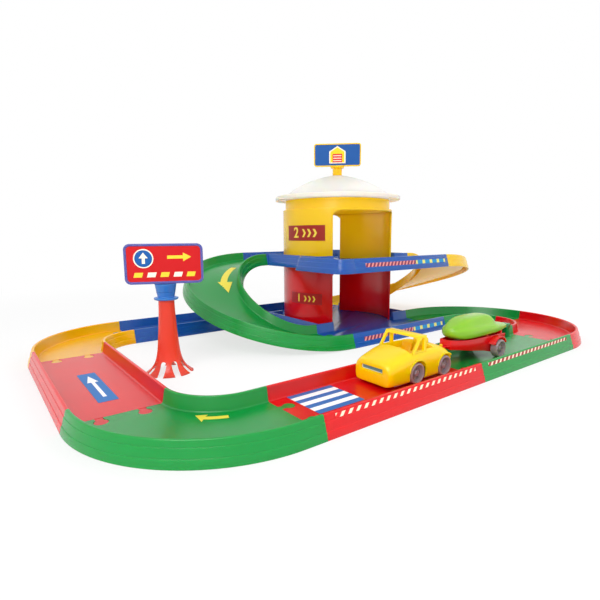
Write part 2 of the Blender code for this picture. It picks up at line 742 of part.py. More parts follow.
def build_roof():
    centre = (TOWER_X, DECK_MIDDLE)
    seat = ROOF_SEAT
    hole = ROOF_PEG_RADIUS + RUNNING_GAP
    flat = ROOF_POST_RADIUS + 3 * ROOF_WALL
    plug_outer = TOWER_RADIUS - TOWER_WALL - COLLAR_STEP - PLUG_GAP
    plug_inner = plug_outer - ROOF_WALL
    outside = [(BRIM_RADIUS, seat), (BRIM_RADIUS, seat + ROOF_WALL)]
    for share in (0.96, 0.86, 0.72, 0.54, 0.34):
        radius = BRIM_RADIUS * share
        outside.append((radius, max(seat + ROOF_WALL, seat + dome_height(radius) * 0.97)))
    ceiling = ROOF_TOP - ROOF_WALL
    outside += [(flat, ROOF_TOP), (hole, ROOF_TOP), (hole, ceiling), (flat, ceiling)]
    radius = BRIM_RADIUS * 0.56
    inside = [(radius, seat + dome_height(radius) * 0.97 - 1.2 * ROOF_WALL)]
    ring_top = seat + dome_height(plug_inner) * 0.97 - 1.6 * ROOF_WALL
    inside += [(plug_inner, ring_top), (plug_inner, seat - ROOF_SKIRT), (plug_outer, seat - ROOF_SKIRT)]
    inside += [(plug_outer, seat)]
    add_object("roof_dome", turned(outside + inside, centre, TOWER_STEPS), "frosted")

    base = ROOF_TOP + SEAM
    top = base + ROOF_POST_HEIGHT
    bore = ROOF_PEG_RADIUS - ROOF_WALL
    profile = [
        (0, top - ROOF_FLANGE_THICKNESS),
        (bore, top - ROOF_FLANGE_THICKNESS),
        (bore, base - ROOF_PEG_LENGTH),
        (ROOF_PEG_RADIUS, base - ROOF_PEG_LENGTH),
        (ROOF_PEG_RADIUS, base),
        (ROOF_POST_RADIUS, base),
        (ROOF_POST_RADIUS, top - ROOF_FLANGE_THICKNESS),
        (ROOF_FLANGE_RADIUS, top - ROOF_FLANGE_THICKNESS * 0.8),
        (ROOF_FLANGE_RADIUS, top),
        (0, top),
    ]
    post = add_object("roof_sign_post", turned(profile, centre, POST_STEPS), "yellow")
    set_origin(post, (*centre, base))
    plate = build_panel("roof_sign_plate", "yellow", ROOF_SIGN_SIZE, (*centre, top + SEAM), ROOF_SIGN_TURN)
    set_origin(plate, (*centre, base))


def build_panel(name, colour, size, foot, turn):
    """An upright sign plate with a raised rim round a sunk face on both sides."""
    width, height, thickness = size
    ease = 0.0008

    def ring(inset, depth):
        half_w = width / 2 - inset
        half_h = height / 2 - inset
        corner = max(PANEL_CORNER - inset, ease)
        points = []
        for sx, sz, start in ((1, 1, 0), (-1, 1, pi / 2), (-1, -1, pi), (1, -1, 3 * pi / 2)):
            middle = (sx * (half_w - corner), sz * (half_h - corner))
            points += arc(middle, corner, start, start + pi / 2, 3)
        return [(x, depth, z + height / 2) for x, z in points]

    half = thickness / 2
    rings = [
        ring(PANEL_RIM + ease, -half + PANEL_RECESS),
        ring(PANEL_RIM, -half),
        ring(ease, -half),
        ring(0, -half + ease),
        ring(0, half - ease),
        ring(ease, half),
        ring(PANEL_RIM, half),
        ring(PANEL_RIM + ease, half - PANEL_RECESS),
    ]
    form = loft(rings)
    place = Matrix.Translation(foot) @ Matrix.Rotation(turn, 4, "Z")
    bmesh.ops.transform(form, matrix=place, verts=form.verts)
    return add_object(name, form, colour)


def build_road_sign():
    x, y = SIGN_PLACE
    wall = SIGN_POST_WALL

    def flare(height):
        """Radius of the post's bell foot at a height."""
        spread = SIGN_FOOT_RADIUS - SIGN_POST_RADIUS
        return SIGN_POST_RADIUS + spread * (1 - height / SIGN_POST_HEIGHT) ** BELL_POWER

    levels = [0.0, 0.09, 0.22, 0.42, 0.7]
    outside = [(flare(SIGN_POST_HEIGHT * s), SIGN_POST_HEIGHT * s) for s in levels]
    peg_top = SIGN_POST_HEIGHT + SIGN_PEG_LENGTH
    outside += [
        (SIGN_POST_RADIUS, SIGN_POST_HEIGHT),
        (SIGN_PEG_RADIUS, SIGN_POST_HEIGHT),
        (SIGN_PEG_RADIUS, peg_top),
        (0, peg_top),
    ]
    inside = [(0, peg_top - wall), (SIGN_PEG_RADIUS - wall, peg_top - wall)]
    inside.append((SIGN_PEG_RADIUS - wall, SIGN_POST_HEIGHT - wall))
    for share in (0.42, 0.22, 0.09):
        height = SIGN_POST_HEIGHT * share
        inside.append((flare(height) - wall, height))
    inside.append((SIGN_FOOT_RADIUS - 1.4 * wall, 0))
    # One closed outline: down the outside from the top of the peg, then up the inside
    outline = list(reversed(outside)) + list(reversed(inside))
    post = add_object("sign_post", turned(outline, (x, y), POST_STEPS), "orange")
    arches = []
    half = ARCH_HALF_WIDTH
    reach = 1.5 * SIGN_FOOT_RADIUS
    for k in range(SIGN_ARCHES // 2):
        outline = [(-half, -wall), (half, -wall)] + arc((0, ARCH_SPRING), half, 0, pi, 4)
        form = loft([[(a, b, c) for a, c in outline] for b in (-reach, reach)])
        turn = Matrix.Rotation(pi * (k + 0.5) / (SIGN_ARCHES // 2), 4, "Z")
        bmesh.ops.transform(form, matrix=Matrix.Translation((x, y, 0)) @ turn, verts=form.verts)
        arches.append(add_object("arch", form, "orange"))
    cut(post, arches)

    base = SIGN_POST_HEIGHT + SEAM
    top = base + SIGN_SOCKET_HEIGHT
    bore = SIGN_PEG_RADIUS + RUNNING_GAP
    neck = SIGN_POST_RADIUS + 0.0004
    profile = [
        (0, peg_top + RUNNING_GAP),
        (bore, peg_top + RUNNING_GAP),
        (bore, base),
        (neck, base),
        (SIGN_SOCKET_FLANGE, base + 0.0015),
        (SIGN_SOCKET_FLANGE, base + 0.004),
        (neck, base + 0.0055),
        (neck, base + 0.0105),
        (neck + 0.0024, top),
        (0, top),
    ]
    socket = add_object("sign_socket", turned(profile, (x, y), POST_STEPS), "sky")
    set_origin(socket, (x, y, base))
    board = build_panel("sign_board", "violet", SIGN_BOARD_SIZE, (x, y, top + SEAM), SIGN_TURN)
    set_origin(board, (x, y, base))


# Toy car, nose towards -X

def car_point(x, y, z):
    """From the car's own axes (from the nose, from its centre line, above the road)."""
    return (CAR_NOSE + x, CAR_Y + y, FLOOR_TOP + z)


def car_block(name, low, high, colour="yellow"):
    return add_object(name, block(car_point(*low), car_point(*high)), colour)


def car_ring(share, fullness, lift, belt, top, crown):
    """One rounded cross-section of the body."""
    half = CAR_HALF_WIDTH * fullness
    low = CAR_CLEARANCE + lift
    side = [
        (half - 0.0015, low),
        (half, low + 0.003),
        (half, belt - 0.004),
        (half - 0.002, belt),
        (half - 0.007, top),
        (half * 0.4, top + crown),
    ]
    points = side + [(-y, z) for y, z in reversed(side)]
    return [car_point(CAR_LENGTH * share, y, z) for y, z in points]


def wheel_places(axle_x, track, centre_y):
    inner = track / 2 - WHEEL_WIDTH
    return [(axle_x, centre_y - inner, -1), (axle_x, centre_y + inner, 1)]


def build_wheel(name, axle_x, inner_y, out):
    """A dished wheel with a hub, its axis across the layout."""
    width = WHEEL_WIDTH
    rim = WHEEL_RADIUS
    bore = AXLE_RADIUS + SEAM
    profile = [
        (bore, 0),
        (rim, 0),
        (rim, width - 0.0016),
        (rim - 0.0012, width),
        (rim * 0.74, width),
        (rim * 0.64, width * 0.5),
        (rim * 0.34, width * 0.5),
        (rim * 0.28, width * 0.88),
        (bore, width * 0.88),
    ]
    form = cross_turned([(r, out * d) for r, d in profile], (axle_x, inner_y, AXLE_Z), WHEEL_STEPS)
    wheel = add_object(name, form, "mauve")
    set_origin(wheel, (axle_x, inner_y, AXLE_Z))
    return wheel


def build_axle(name, axle_x, track, centre_y):
    half = track / 2 - 0.0016
    ease = AXLE_RADIUS * 0.3
    profile = [
        (0, -half),
        (AXLE_RADIUS - ease, -half),
        (AXLE_RADIUS, -half + ease),
        (AXLE_RADIUS, half - ease),
        (AXLE_RADIUS - ease, half),
        (0, half),
    ]
    axle = add_object(name, cross_turned(profile, (axle_x, centre_y, AXLE_Z), 10), "steel")
    set_origin(axle, (axle_x, centre_y, AXLE_Z))
    return axle


def cross_cylinder(name, x, y0, y1, z, radius, steps):
    profile = [(0, y0), (radius, y0), (radius, y1), (0, y1)]
    return add_object(name, cross_turned(profile, (x, 0, z), steps), "yellow")


def car_prism(name, outline, wide):
    """A prism across the car from points measured from its nose and above the road."""
    points = [(CAR_NOSE + x, FLOOR_TOP + z) for x, z in outline]
    return add_object(name, side_prism(points, CAR_Y - wide, CAR_Y + wide), "yellow")


def build_car():
    half = CAR_HALF_WIDTH
    body = add_object("car_body", faceted(loft([car_ring(*row) for row in BODY_STATIONS])), "yellow")
    edge = half - CAR_WALL
    low = (CAVITY_FRONT, -edge, -CAR_CLEARANCE)
    tools = [car_block("cavity", low, (CAR_LENGTH - CAVITY_BACK, edge, CAVITY_TOP))]
    # The cockpit is wide above the wheel arches and narrow between them
    arch = WHEEL_RADIUS + ARCH_GAP
    pocket = WHEEL_TRACK / 2 - WHEEL_WIDTH - POCKET_GAP
    ledge = AXLE_Z - FLOOR_TOP + arch + CAR_WALL
    floor = CAVITY_TOP + CAR_WALL
    foot_room = pocket - CAR_WALL
    sky = 1.2 * HOOP_TOP
    well_back = COCKPIT_BACK - COCKPIT_STEP
    well = [
        (COCKPIT_FRONT + COCKPIT_RAKE, floor),
        (well_back, floor),
        (well_back, ledge + CAR_WALL / 2),
        (COCKPIT_FRONT + COCKPIT_STEP, ledge + CAR_WALL / 2),
    ]
    opening = [
        (COCKPIT_FRONT, ledge),
        (COCKPIT_BACK, ledge),
        (COCKPIT_BACK + COCKPIT_STEP, sky),
        (COCKPIT_FRONT - COCKPIT_RAKE, sky),
    ]
    tools.append(car_prism("well", well, foot_room))
    tools.append(car_prism("opening", opening, edge - 0.003))
    for x in (CAR_FRONT_AXLE, CAR_FRONT_AXLE + WHEEL_BASE):
        centre = CAR_NOSE + x
        for side in (-1, 1):
            near, far = sorted((CAR_Y + side * pocket, CAR_Y + side * 2 * half))
            tools.append(cross_cylinder("arch", centre, near, far, AXLE_Z, arch, 18))
    rear = CAR_FRONT_AXLE + WHEEL_BASE
    top = AXLE_Z - FLOOR_TOP + TAIL_CUT
    for near, far in ((-2 * half, -pocket), (pocket, 2 * half)):
        tools.append(car_block("tail", (rear, near, -CAR_CLEARANCE), (1.2 * CAR_LENGTH, far, top)))
    cut(body, tools)
    hump = [(r, FLOOR_TOP + z) for r, z in HUMP_PROFILE]
    place = car_point(HUMP_PLACE, 0, 0)
    join(body, [build_hoop(), add_object("hump", turned(hump, place[:2], HUMP_STEPS), "yellow")])

    build_chassis(edge - SEAM, pocket - SEAM)
    build_seats(floor + SEAM, foot_room - PLUG_GAP)
    for label, x in (("front", CAR_FRONT_AXLE), ("rear", CAR_FRONT_AXLE + WHEEL_BASE)):
        axle_x = CAR_NOSE + x
        build_axle("car_%s_axle" % label, axle_x, WHEEL_TRACK, CAR_Y)
        for place in wheel_places(axle_x, WHEEL_TRACK, CAR_Y):
            side = "near" if place[2] < 0 else "far"
            build_wheel("car_%s_wheel_%s" % (label, side), *place)


def build_hoop():
    """The frame over the cockpit's front edge: a band with a wide foot on each side."""
    bar = HOOP_BAR
    half = CAR_HALF_WIDTH - HOOP_INSET
    shoulder = HOOP_TOP - 0.006
    outer = [(-half, HOOP_FOOT), (-half + 0.003, shoulder), (-half + 0.009, HOOP_TOP)]
    inner = [
        (-half + bar, HOOP_FOOT),
        (-half + 0.003 + bar, shoulder - bar / 2),
        (-half + 0.0098, HOOP_TOP - bar),
    ]
    outer += [(-y, z) for y, z in reversed(outer)]
    inner += [(-y, z) for y, z in reversed(inner)]
    ring = outer + list(reversed(inner))
    rings = []
    for start in (HOOP_FRONT, HOOP_FRONT + HOOP_DEPTH):
        rings.append([car_point(start + (z - HOOP_FOOT) * HOOP_LEAN, y, z) for y, z in ring])
    return add_object("hoop", faceted(loft(rings)), "yellow")


def build_chassis(wide, narrow):
    """A plate under the body, notched round the wheels, with a bearing block for each axle."""
    notch = WHEEL_RADIUS + ARCH_GAP + SEAM
    front = CAVITY_FRONT + SEAM
    back = CAR_LENGTH - CAVITY_BACK - SEAM
    axles = (CAR_FRONT_AXLE, CAR_FRONT_AXLE + WHEEL_BASE)
    stations = [(front, wide)]
    for x in axles:
        stations += [(x - notch, wide), (x - notch, narrow)]
        if x + notch < back:
            stations += [(x + notch, narrow), (x + notch, wide)]
    stations.append((back, stations[-1][1]))
    outline = [(CAR_NOSE + x, CAR_Y + y) for x, y in stations]
    outline += [(CAR_NOSE + x, CAR_Y - y) for x, y in reversed(stations)]
    low = FLOOR_TOP + CAR_CLEARANCE + CHASSIS_LIFT
    chassis = add_object("car_chassis", prism(outline, low, low + CHASSIS_THICKNESS), "mauve")
    bearings = []
    bores = []
    block_low = CAR_CLEARANCE + 1.5 * CHASSIS_LIFT
    block_high = AXLE_Z - FLOOR_TOP + BEARING_RISE
    for x in axles:
        start = (x - BEARING_LENGTH / 2, SEAM - narrow, block_low)
        end = (x + BEARING_LENGTH / 2, narrow - SEAM, block_high)
        bearings.append(car_block("bearing", start, end))
        radius = AXLE_RADIUS + RUNNING_GAP
        side = (CAR_Y - CAR_HALF_WIDTH, CAR_Y + CAR_HALF_WIDTH)
        bores.append(cross_cylinder("bore", CAR_NOSE + x, *side, AXLE_Z, radius, 10))
    join(chassis, bearings)
    cut(chassis, bores)
    return chassis


def build_seats(floor, wide):
    """A bench with two backrests, standing on the cockpit floor."""
    seats = car_prism("car_seats", [(x, floor + z) for x, z in SEAT_OUTLINE], wide)
    front = min(x for x, z in SEAT_OUTLINE)
    back = max(x for x, z in SEAT_OUTLINE)
    low = ((front + back) / 2, -SEAT_SPLIT / 2, floor + SEAT_SPLIT_FOOT)
    high = (back + SEAT_SPLIT, SEAT_SPLIT / 2, floor + 3 * SEAT_SPLIT_FOOT)
    cut(seats, [car_block("split", low, high)])


def build_tow_hook():
    """A flat tongue on the tail with an upright pin for the trailer."""
    low = HITCH_HEIGHT
    root = CAR_TAIL + SEAM
    half = EYE_RADIUS
    tip = [(HITCH_X - 0.6 * half, 0.7 * half), (HITCH_X + 0.3 * half, 0.55 * half), (HITCH_X + 0.6 * half, 0)]
    edge = [(root, 1.08 * half)] + tip
    plan = [(x, CAR_Y - y) for x, y in edge] + [(x, CAR_Y + y) for x, y in reversed(edge[:-1])]
    hook = add_object("car_tow_hook", prism(plan, low, low + TONGUE_THICKNESS), "yellow")
    foot = low + TONGUE_THICKNESS / 3
    rounded = low + HITCH_PIN_RISE - HITCH_PIN_RADIUS / 2
    pin = [(0, foot), (HITCH_PIN_RADIUS, foot), (HITCH_PIN_RADIUS, rounded), (0, low + HITCH_PIN_RISE)]
    join(hook, [add_object("pin", turned(pin, (HITCH_X, CAR_Y), 10), "yellow")])
    return hook


# Trailer and boat

def frame_half(x):
    """Half width of the trailer's frame over its outer faces at a place along the layout."""
    share = min(1.0, max(0.0, (x - HITCH_X - FRAME_FRONT) / FRAME_TAPER))
    return FRAME_NOSE_HALF + (FRAME_HALF - FRAME_NOSE_HALF) * sin(share * pi / 2)


def build_trailer():
    low = HITCH_HEIGHT + TONGUE_THICKNESS + SEAM
    bore = HITCH_PIN_RADIUS + RUNNING_GAP
    eye = [(bore, low), (EYE_RADIUS, low), (EYE_RADIUS, low + EYE_THICKNESS), (bore, low + EYE_THICKNESS)]
    frame = add_object("trailer_frame", turned(eye, (HITCH_X, CAR_Y), 14), "red")
    front = HITCH_X + FRAME_FRONT
    back = TRAILER_AXLE + FRAME_TAIL
    length = back - front
    stations = [(front + length * share, foot, rim) for share, foot, rim in FRAME_STATIONS]
    ease = TRAY_EASE

    # The tray reaches from the eye to the frame's end, its edges inside the side walls
    neck = (HITCH_X + (EYE_RADIUS + bore) / 2, EYE_RADIUS * 0.6)
    plan = [neck, (front + ease, FRAME_NOSE_HALF - ease)]
    plan += [(x, frame_half(x) - ease) for x, foot, rim in stations[1:-1]]
    plan.append((back - ease, FRAME_HALF - ease))
    outline = [(x, CAR_Y + y) for x, y in plan] + [(x, CAR_Y - y) for x, y in reversed(plan)]
    pieces = [add_object("tray", prism(outline, low + ease, low + EYE_THICKNESS - ease), "red")]
    for side in (-1, 1):
        rings = []
        for x, foot, rim in stations:
            outer = frame_half(x)
            inner = outer - FRAME_WALL
            section = [(inner, foot), (outer, foot), (outer, rim), (inner, rim)]
            rings.append([(x, CAR_Y + side * y, z) for y, z in section])
        pieces.append(add_object("wall", faceted(loft(rings)), "red"))
        outer = FENDER_WALL + WHEEL_RADIUS + FENDER_GAP
        inner = WHEEL_RADIUS + FENDER_GAP
        axle = (TRAILER_AXLE, AXLE_Z)
        band = arc(axle, outer, FENDER_START, pi - FENDER_START, 7)
        band += arc(axle, inner, pi - FENDER_START, FENDER_START, 7)
        near = CAR_Y + side * (FRAME_HALF - FRAME_WALL / 2)
        far = CAR_Y + side * (TRAILER_TRACK / 2 - FENDER_INSET)
        pieces.append(add_object("fender", side_prism(band, near, far), "red"))
    foot, rim = FRAME_STATIONS[0][1:]
    corner = (front + ease, CAR_Y - FRAME_NOSE_HALF + ease, foot + ease)
    opposite = (front + FRAME_WALL, CAR_Y + FRAME_NOSE_HALF - ease, rim - ease)
    pieces.append(add_object("front", block(corner, opposite), "red"))
    for x in (TRAILER_AXLE - 0.6 * FRAME_TAIL, TRAILER_AXLE + 0.7 * FRAME_TAIL):
        rib = cradle_rib(x, low + EYE_THICKNESS / 2, frame_half(x) - FRAME_WALL / 2)
        pieces.append(add_object("rib", rib, "red"))
    join(frame, pieces)
    reach = 2 * FRAME_HALF
    radius = AXLE_RADIUS + RUNNING_GAP
    cut(frame, [cross_cylinder("bore", TRAILER_AXLE, CAR_Y - reach, CAR_Y + reach, AXLE_Z, radius, 10)])
    set_origin(frame, (HITCH_X, CAR_Y, low))
    build_axle("trailer_axle", TRAILER_AXLE, TRAILER_TRACK, CAR_Y)
    for place in wheel_places(TRAILER_AXLE, TRAILER_TRACK, CAR_Y):
        side = "near" if place[2] < 0 else "far"
        build_wheel("trailer_wheel_%s" % side, *place)


def cradle_rib(x, low, half):
    """A rib across the trailer whose top edge follows the boat's bottom."""
    steps = 8
    top = []
    for k in range(steps + 1):
        y = half * (1 - 2 * k / steps)
        top.append((y, boat_bottom(y) - SEAM))
    outline = [(-half, low), (half, low)] + top
    reach = FRAME_WALL / 2
    return loft([[(xx, CAR_Y + y, z) for y, z in outline] for xx in (x - reach, x + reach)])


def boat_bottom(y):
    """Height of the hull's underside near its middle, a shallow vee."""
    return KEEL_HEIGHT + abs(y) * KEEL_VEE


def hull_size(share):
    """Half width, keel height and side height of the hull at a share of its length."""
    rows = HULL_STATIONS
    for before, after in zip(rows, rows[1:]):
        if share <= after[0]:
            break
    t = (share - before[0]) / (after[0] - before[0])
    fullness, rise, side = [a + (b - a) * t for a, b in zip(before[1:], after[1:])]
    return BOAT_HALF_BEAM * fullness, KEEL_HEIGHT + rise, KEEL_HEIGHT + side


def boat_rings(stations):
    """Cross-sections for a loft: a share of the hull's length and (y, z) points for each."""
    return [[(BOAT_BOW + BOAT_LENGTH * share, CAR_Y + y, z) for y, z in points] for share, points in stations]


def build_boat():
    stations = []
    for share, *row in HULL_STATIONS:
        half, keel, top = hull_size(share)
        chine = keel + half * HULL_CHINE * KEEL_VEE
        side = [(half * HULL_CHINE, chine), (half * 0.94, chine + 0.35 * (top - chine)), (half, top)]
        points = [(0, keel)] + side + [(half * 0.9, top + 0.0006), (-half * 0.9, top + 0.0006)]
        points += [(-y, z) for y, z in reversed(side)]
        stations.append((share, points))
    hull = add_object("boat_hull", faceted(loft(boat_rings(stations))), "lime")
    stations = []
    for share in WELL_STATIONS:
        half, keel, top = hull_size(share)
        floor = KEEL_HEIGHT + WELL_FLOOR
        wide = half - HULL_WALL
        above = top + HULL_WALL
        stations.append((share, [(-0.66 * wide, floor), (0.66 * wide, floor), (wide, above), (-wide, above)]))
    cut(hull, [add_object("well", faceted(loft(boat_rings(stations))), "lime")])
    # A cabin with a sloping front ahead of the well
    stations = []
    for share, rise in CABIN_STATIONS:
        foot = KEEL_HEIGHT + CABIN_FOOT
        top = KEEL_HEIGHT + rise
        half = CABIN_HALF_WIDTH
        shoulder = foot + 0.65 * (top - foot)
        edge = [(half, foot), (half, shoulder), (0.72 * half, top)]
        stations.append((share, edge + [(-y, z) for y, z in reversed(edge)]))
    join(hull, [add_object("cabin", faceted(loft(boat_rings(stations))), "lime")])

    stern = BOAT_BOW + BOAT_LENGTH + SEAM
    outline = [(stern + x, KEEL_HEIGHT + z) for x, z in MOTOR_OUTLINE]
    half = MOTOR_HALF_WIDTH
    motor = add_object("outboard_motor", side_prism(outline, CAR_Y - half, CAR_Y + half), "bottle")
    set_origin(motor, (stern, CAR_Y, KEEL_HEIGHT + MOTOR_OUTLINE[-1][1]))


def place_all():
    """Put the footprint's centre over the origin."""
    for item in bpy.data.objects:
        item.location -= CENTRE


def main():
    clear_scene()
    build_loop()
    build_deck("base_deck", 0, True)
    build_deck("upper_deck", STOREY, False)
    lower = deck_joints(0)
    upper = deck_joints(STOREY)
    build_end_cap("end_cap_left", upper["front_left"])
    build_end_cap("end_cap_right", upper["back_right"])
    build_ramp("ramp_green", "green", lower["front_left"], upper["back_left"])
    build_ramp("ramp_yellow", "yellow", lower["back_right"], upper["front_right"])
    build_towers()
    build_roof()
    build_road_sign()
    build_car()
    build_tow_hook()
    build_trailer()
    build_boat()
    place_all()


main()
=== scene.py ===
# Toy parking garage for Blender 4.5: moulded road channels, two decks, half-turn ramps, a round
# tower with a domed roof, a road sign, and a toy car with a boat trailer.

from math import acos, atan2, cos, pi, radians, sin, sqrt

import bmesh
import bpy
from mathutils import Matrix, Vector


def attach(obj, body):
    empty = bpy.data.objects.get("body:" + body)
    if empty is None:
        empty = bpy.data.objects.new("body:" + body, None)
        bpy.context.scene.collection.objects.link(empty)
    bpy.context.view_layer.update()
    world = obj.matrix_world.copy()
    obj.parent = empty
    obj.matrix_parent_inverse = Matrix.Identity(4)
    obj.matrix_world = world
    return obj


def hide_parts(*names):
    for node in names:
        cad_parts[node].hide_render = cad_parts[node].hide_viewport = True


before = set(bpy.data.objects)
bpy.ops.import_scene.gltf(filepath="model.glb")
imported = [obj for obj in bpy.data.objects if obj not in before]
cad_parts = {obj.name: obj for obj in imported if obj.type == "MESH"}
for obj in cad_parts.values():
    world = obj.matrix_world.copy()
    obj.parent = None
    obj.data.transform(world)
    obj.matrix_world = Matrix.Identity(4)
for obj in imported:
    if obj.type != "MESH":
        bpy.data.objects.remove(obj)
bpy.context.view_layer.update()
bpy.ops.object.select_all(action="DESELECT")

mm = 0.001
tiny = 0.01 * mm
frontLeft = Vector((-0.2625, -0.307, 0))  # front left seam of the roads, where places are measured from


def spot(x, y, z=0):
    # millimetres from the front left seam, as a place in the frame
    return Vector((x, y, z)) * mm + frontLeft


# Tools for modelling

def scaled(points):
    # millimetres to metres
    return [tuple(value * mm for value in point) for point in points]


def takeUp(*items):
    if bpy.context.object and bpy.context.object.mode != "OBJECT":
        bpy.ops.object.mode_set(mode="OBJECT")
    bpy.ops.object.select_all(action="DESELECT")
    for item in items:
        item.select_set(True)
    bpy.context.view_layer.objects.active = items[-1]


def openMesh(item, kind="VERT"):
    # opens the piece's mesh with everything selected
    takeUp(item)
    bpy.ops.object.mode_set(mode="EDIT")
    bpy.ops.mesh.select_mode(type=kind)
    bpy.ops.mesh.select_all(action="SELECT")


def closeMesh(item):
    bpy.ops.object.mode_set(mode="OBJECT")
    return item


def pick(item, wanted):
    # selects the vertices, or in face mode the faces, that the test wants
    bpy.ops.mesh.select_all(action="DESELECT")
    form = bmesh.from_edit_mesh(item.data)
    if bpy.context.tool_settings.mesh_select_mode[2]:
        for face in form.faces:
            face.select_set(bool(wanted(face.calc_center_median(), face.normal)))
    else:
        for vertex in form.verts:
            vertex.select = bool(wanted(vertex.co))
        form.select_flush_mode()
    bmesh.update_edit_mesh(item.data)


def modify(item, kind, **settings):
    takeUp(item)
    modifier = item.modifiers.new(kind.title(), kind)
    for name, value in settings.items():
        setattr(modifier, name, value)
    if kind == "SUBSURF":
        modifier.render_levels = modifier.levels
    bpy.ops.object.modifier_apply(modifier=modifier.name)
    return item


def carve(item, *tools, operation="DIFFERENCE"):
    for tool in tools:
        modify(item, "BOOLEAN", operation=operation, object=tool, solver="EXACT")
        bpy.data.objects.remove(tool)
    return item


def soften(item, width, sharp, segments=3):
    # rounds the edges that are sharper than an angle
    return modify(item, "BEVEL", width=width * mm, segments=segments,
                  limit_method="ANGLE", angle_limit=sharp)


def settle(item, place=(0, 0, 0), turn=(0, 0, 0)):
    # turns and moves the piece, and puts its place into its mesh
    takeUp(item)
    item.rotation_euler = turn
    item.location = Vector(place)
    bpy.ops.object.transform_apply(location=True, rotation=True, scale=True)
    return item


def mend(item):
    # merges doubled points and turns the faces outwards
    openMesh(item)
    bpy.ops.mesh.remove_doubles(threshold=tiny)
    bpy.ops.mesh.normals_make_consistent(inside=False)
    return closeMesh(item)


def capEnds(item):
    # closes the open ends of a pulled or spun outline
    openMesh(item)
    bpy.ops.mesh.fill_holes(sides=0)
    closeMesh(item)
    return mend(item)


def trace(name, points, closed=True):
    # draws a chain of edges point by point, and stays in edit mode
    points = [Vector(point) for point in points]
    bpy.ops.mesh.primitive_plane_add(size=mm)
    item = bpy.context.object
    item.name = name
    bpy.ops.object.mode_set(mode="EDIT")
    bpy.ops.mesh.select_mode(type="VERT")
    bpy.ops.mesh.merge(type="CENTER")
    bpy.ops.transform.translate(value=points[0])
    for last, point in zip(points, points[1:]):
        bpy.ops.mesh.extrude_vertices_move(TRANSFORM_OT_translate={"value": point - last})
    if closed:
        pick(item, lambda p: (p - points[0]).length < tiny or (p - points[-1]).length < tiny)
        bpy.ops.mesh.edge_face_add()
    bpy.ops.mesh.select_all(action="SELECT")
    return item


def cutOut(name, points, depth):
    # a flat outline, filled and pulled to a thickness
    item = trace(name, points)
    bpy.ops.mesh.edge_face_add()
    bpy.ops.mesh.extrude_region_move(TRANSFORM_OT_translate={"value": depth})
    closeMesh(item)
    return mend(item)


def turned(name, profile, centre, steps, closed=True, angle=2 * pi):
    # spins a profile of (radius, height) points about an upright axis
    item = trace(name, [(centre[0] + r, centre[1], z) for r, z in profile], closed)
    bpy.ops.mesh.spin(steps=steps, angle=angle, center=(centre[0], centre[1], 0), axis=(0, 0, 1))
    closeMesh(item)
    return mend(item)


def copyOf(item, name, matrix=None):
    made = item.copy()
    made.data = item.data.copy()
    made.name = name
    bpy.context.scene.collection.objects.link(made)
    if matrix is not None:
        made.data.transform(matrix)
        if matrix.determinant() < 0:
            mend(made)
    return made


def arc(centre, radius, start, end, steps):
    turn = (end - start) / steps
    return [(centre[0] + radius * cos(start + turn * k), centre[1] + radius * sin(start + turn * k))
            for k in range(steps + 1)]


def oblong(x0, y0, x1, y1, radius=0, upper=None):
    # corners for rounded(); the upper two may have a radius of their own
    upper = radius if upper is None else upper
    return [(x0, y0, radius), (x1, y0, radius), (x1, y1, upper), (x0, y1, upper)]


def rounded(corners, steps=4):
    # corners are (x, y, radius); each is replaced by a small arc
    points = []
    count = len(corners)
    for k, (x, y, radius) in enumerate(corners):
        here = Vector((x, y))
        if radius == 0:
            points.append((x, y))
            continue
        before = (Vector(corners[k - 1][:2]) - here).normalized()
        after = (Vector(corners[(k + 1) % count][:2]) - here).normalized()
        half = acos(max(-1, min(1, before.dot(after)))) / 2
        start = here + before * radius / (sin(half) / cos(half))
        middle = here + (before + after).normalized() * radius / sin(half)
        arm = start - middle
        sweep = (pi - 2 * half) * (1 if before.x * after.y - before.y * after.x < 0 else -1)
        for s in range(steps + 1):
            a = sweep * s / steps
            points.append((middle.x + arm.x * cos(a) - arm.y * sin(a),
                           middle.y + arm.x * sin(a) + arm.y * cos(a)))
    return points


def present(item, body, material, nodes=(), smooth=30):
    # finishes a piece: its shading, its look, what it rides on and what it stands for
    takeUp(item)
    bpy.ops.object.shade_smooth_by_angle(angle=radians(smooth))
    item.data.materials.clear()
    item.data.materials.append(material)
    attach(item, body)
    if nodes:
        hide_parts(*nodes)
    return item


# Materials

def linear(code):
    # sRGB hex to linear colour
    parts = [int(code[k:k + 2], 16) / 255 for k in (1, 3, 5)]
    return (*[c / 12.92 if c <= 0.04045 else ((c + 0.055) / 1.055) ** 2.4 for c in parts], 1)


def addNode(material, kind, inputs=None, **settings):
    made = material.node_tree.nodes.new(kind)
    for name, value in settings.items():
        setattr(made, name, value)
    for name, value in (inputs or {}).items():
        if isinstance(value, bpy.types.NodeSocket):
            material.node_tree.links.new(value, made.inputs[name])
        else:
            made.inputs[name].default_value = value
    return made


def newMaterial(name):
    material = bpy.data.materials.new(name)
    material.use_nodes = True
    material.node_tree.nodes.clear()
    return material


moulding = {
    "roughness": 0.24,
    "ior": 1.49,
    "flowSpan": 45.0,     # mm across one drift of tone in the moulded colour
    "flowDepth": 0.05,    # how much darker the drift gets
    "peelSpan": 2.6,      # mm across one ripple of the polished mould's skin
    "peelDepth": 0.010,   # mm
    "peelStrength": 0.5,
    "sheenSpan": 14.0,    # mm across one patch of gloss
    "sheenShare": 0.25,   # how much the roughness differs from patch to patch
    "glowShare": 0.6,     # how much of the light goes into the thin walls
    "glowReach": 9.0,     # mm that it travels there
    "glowTint": (1.0, 0.6, 0.25),  # red light travels furthest
}


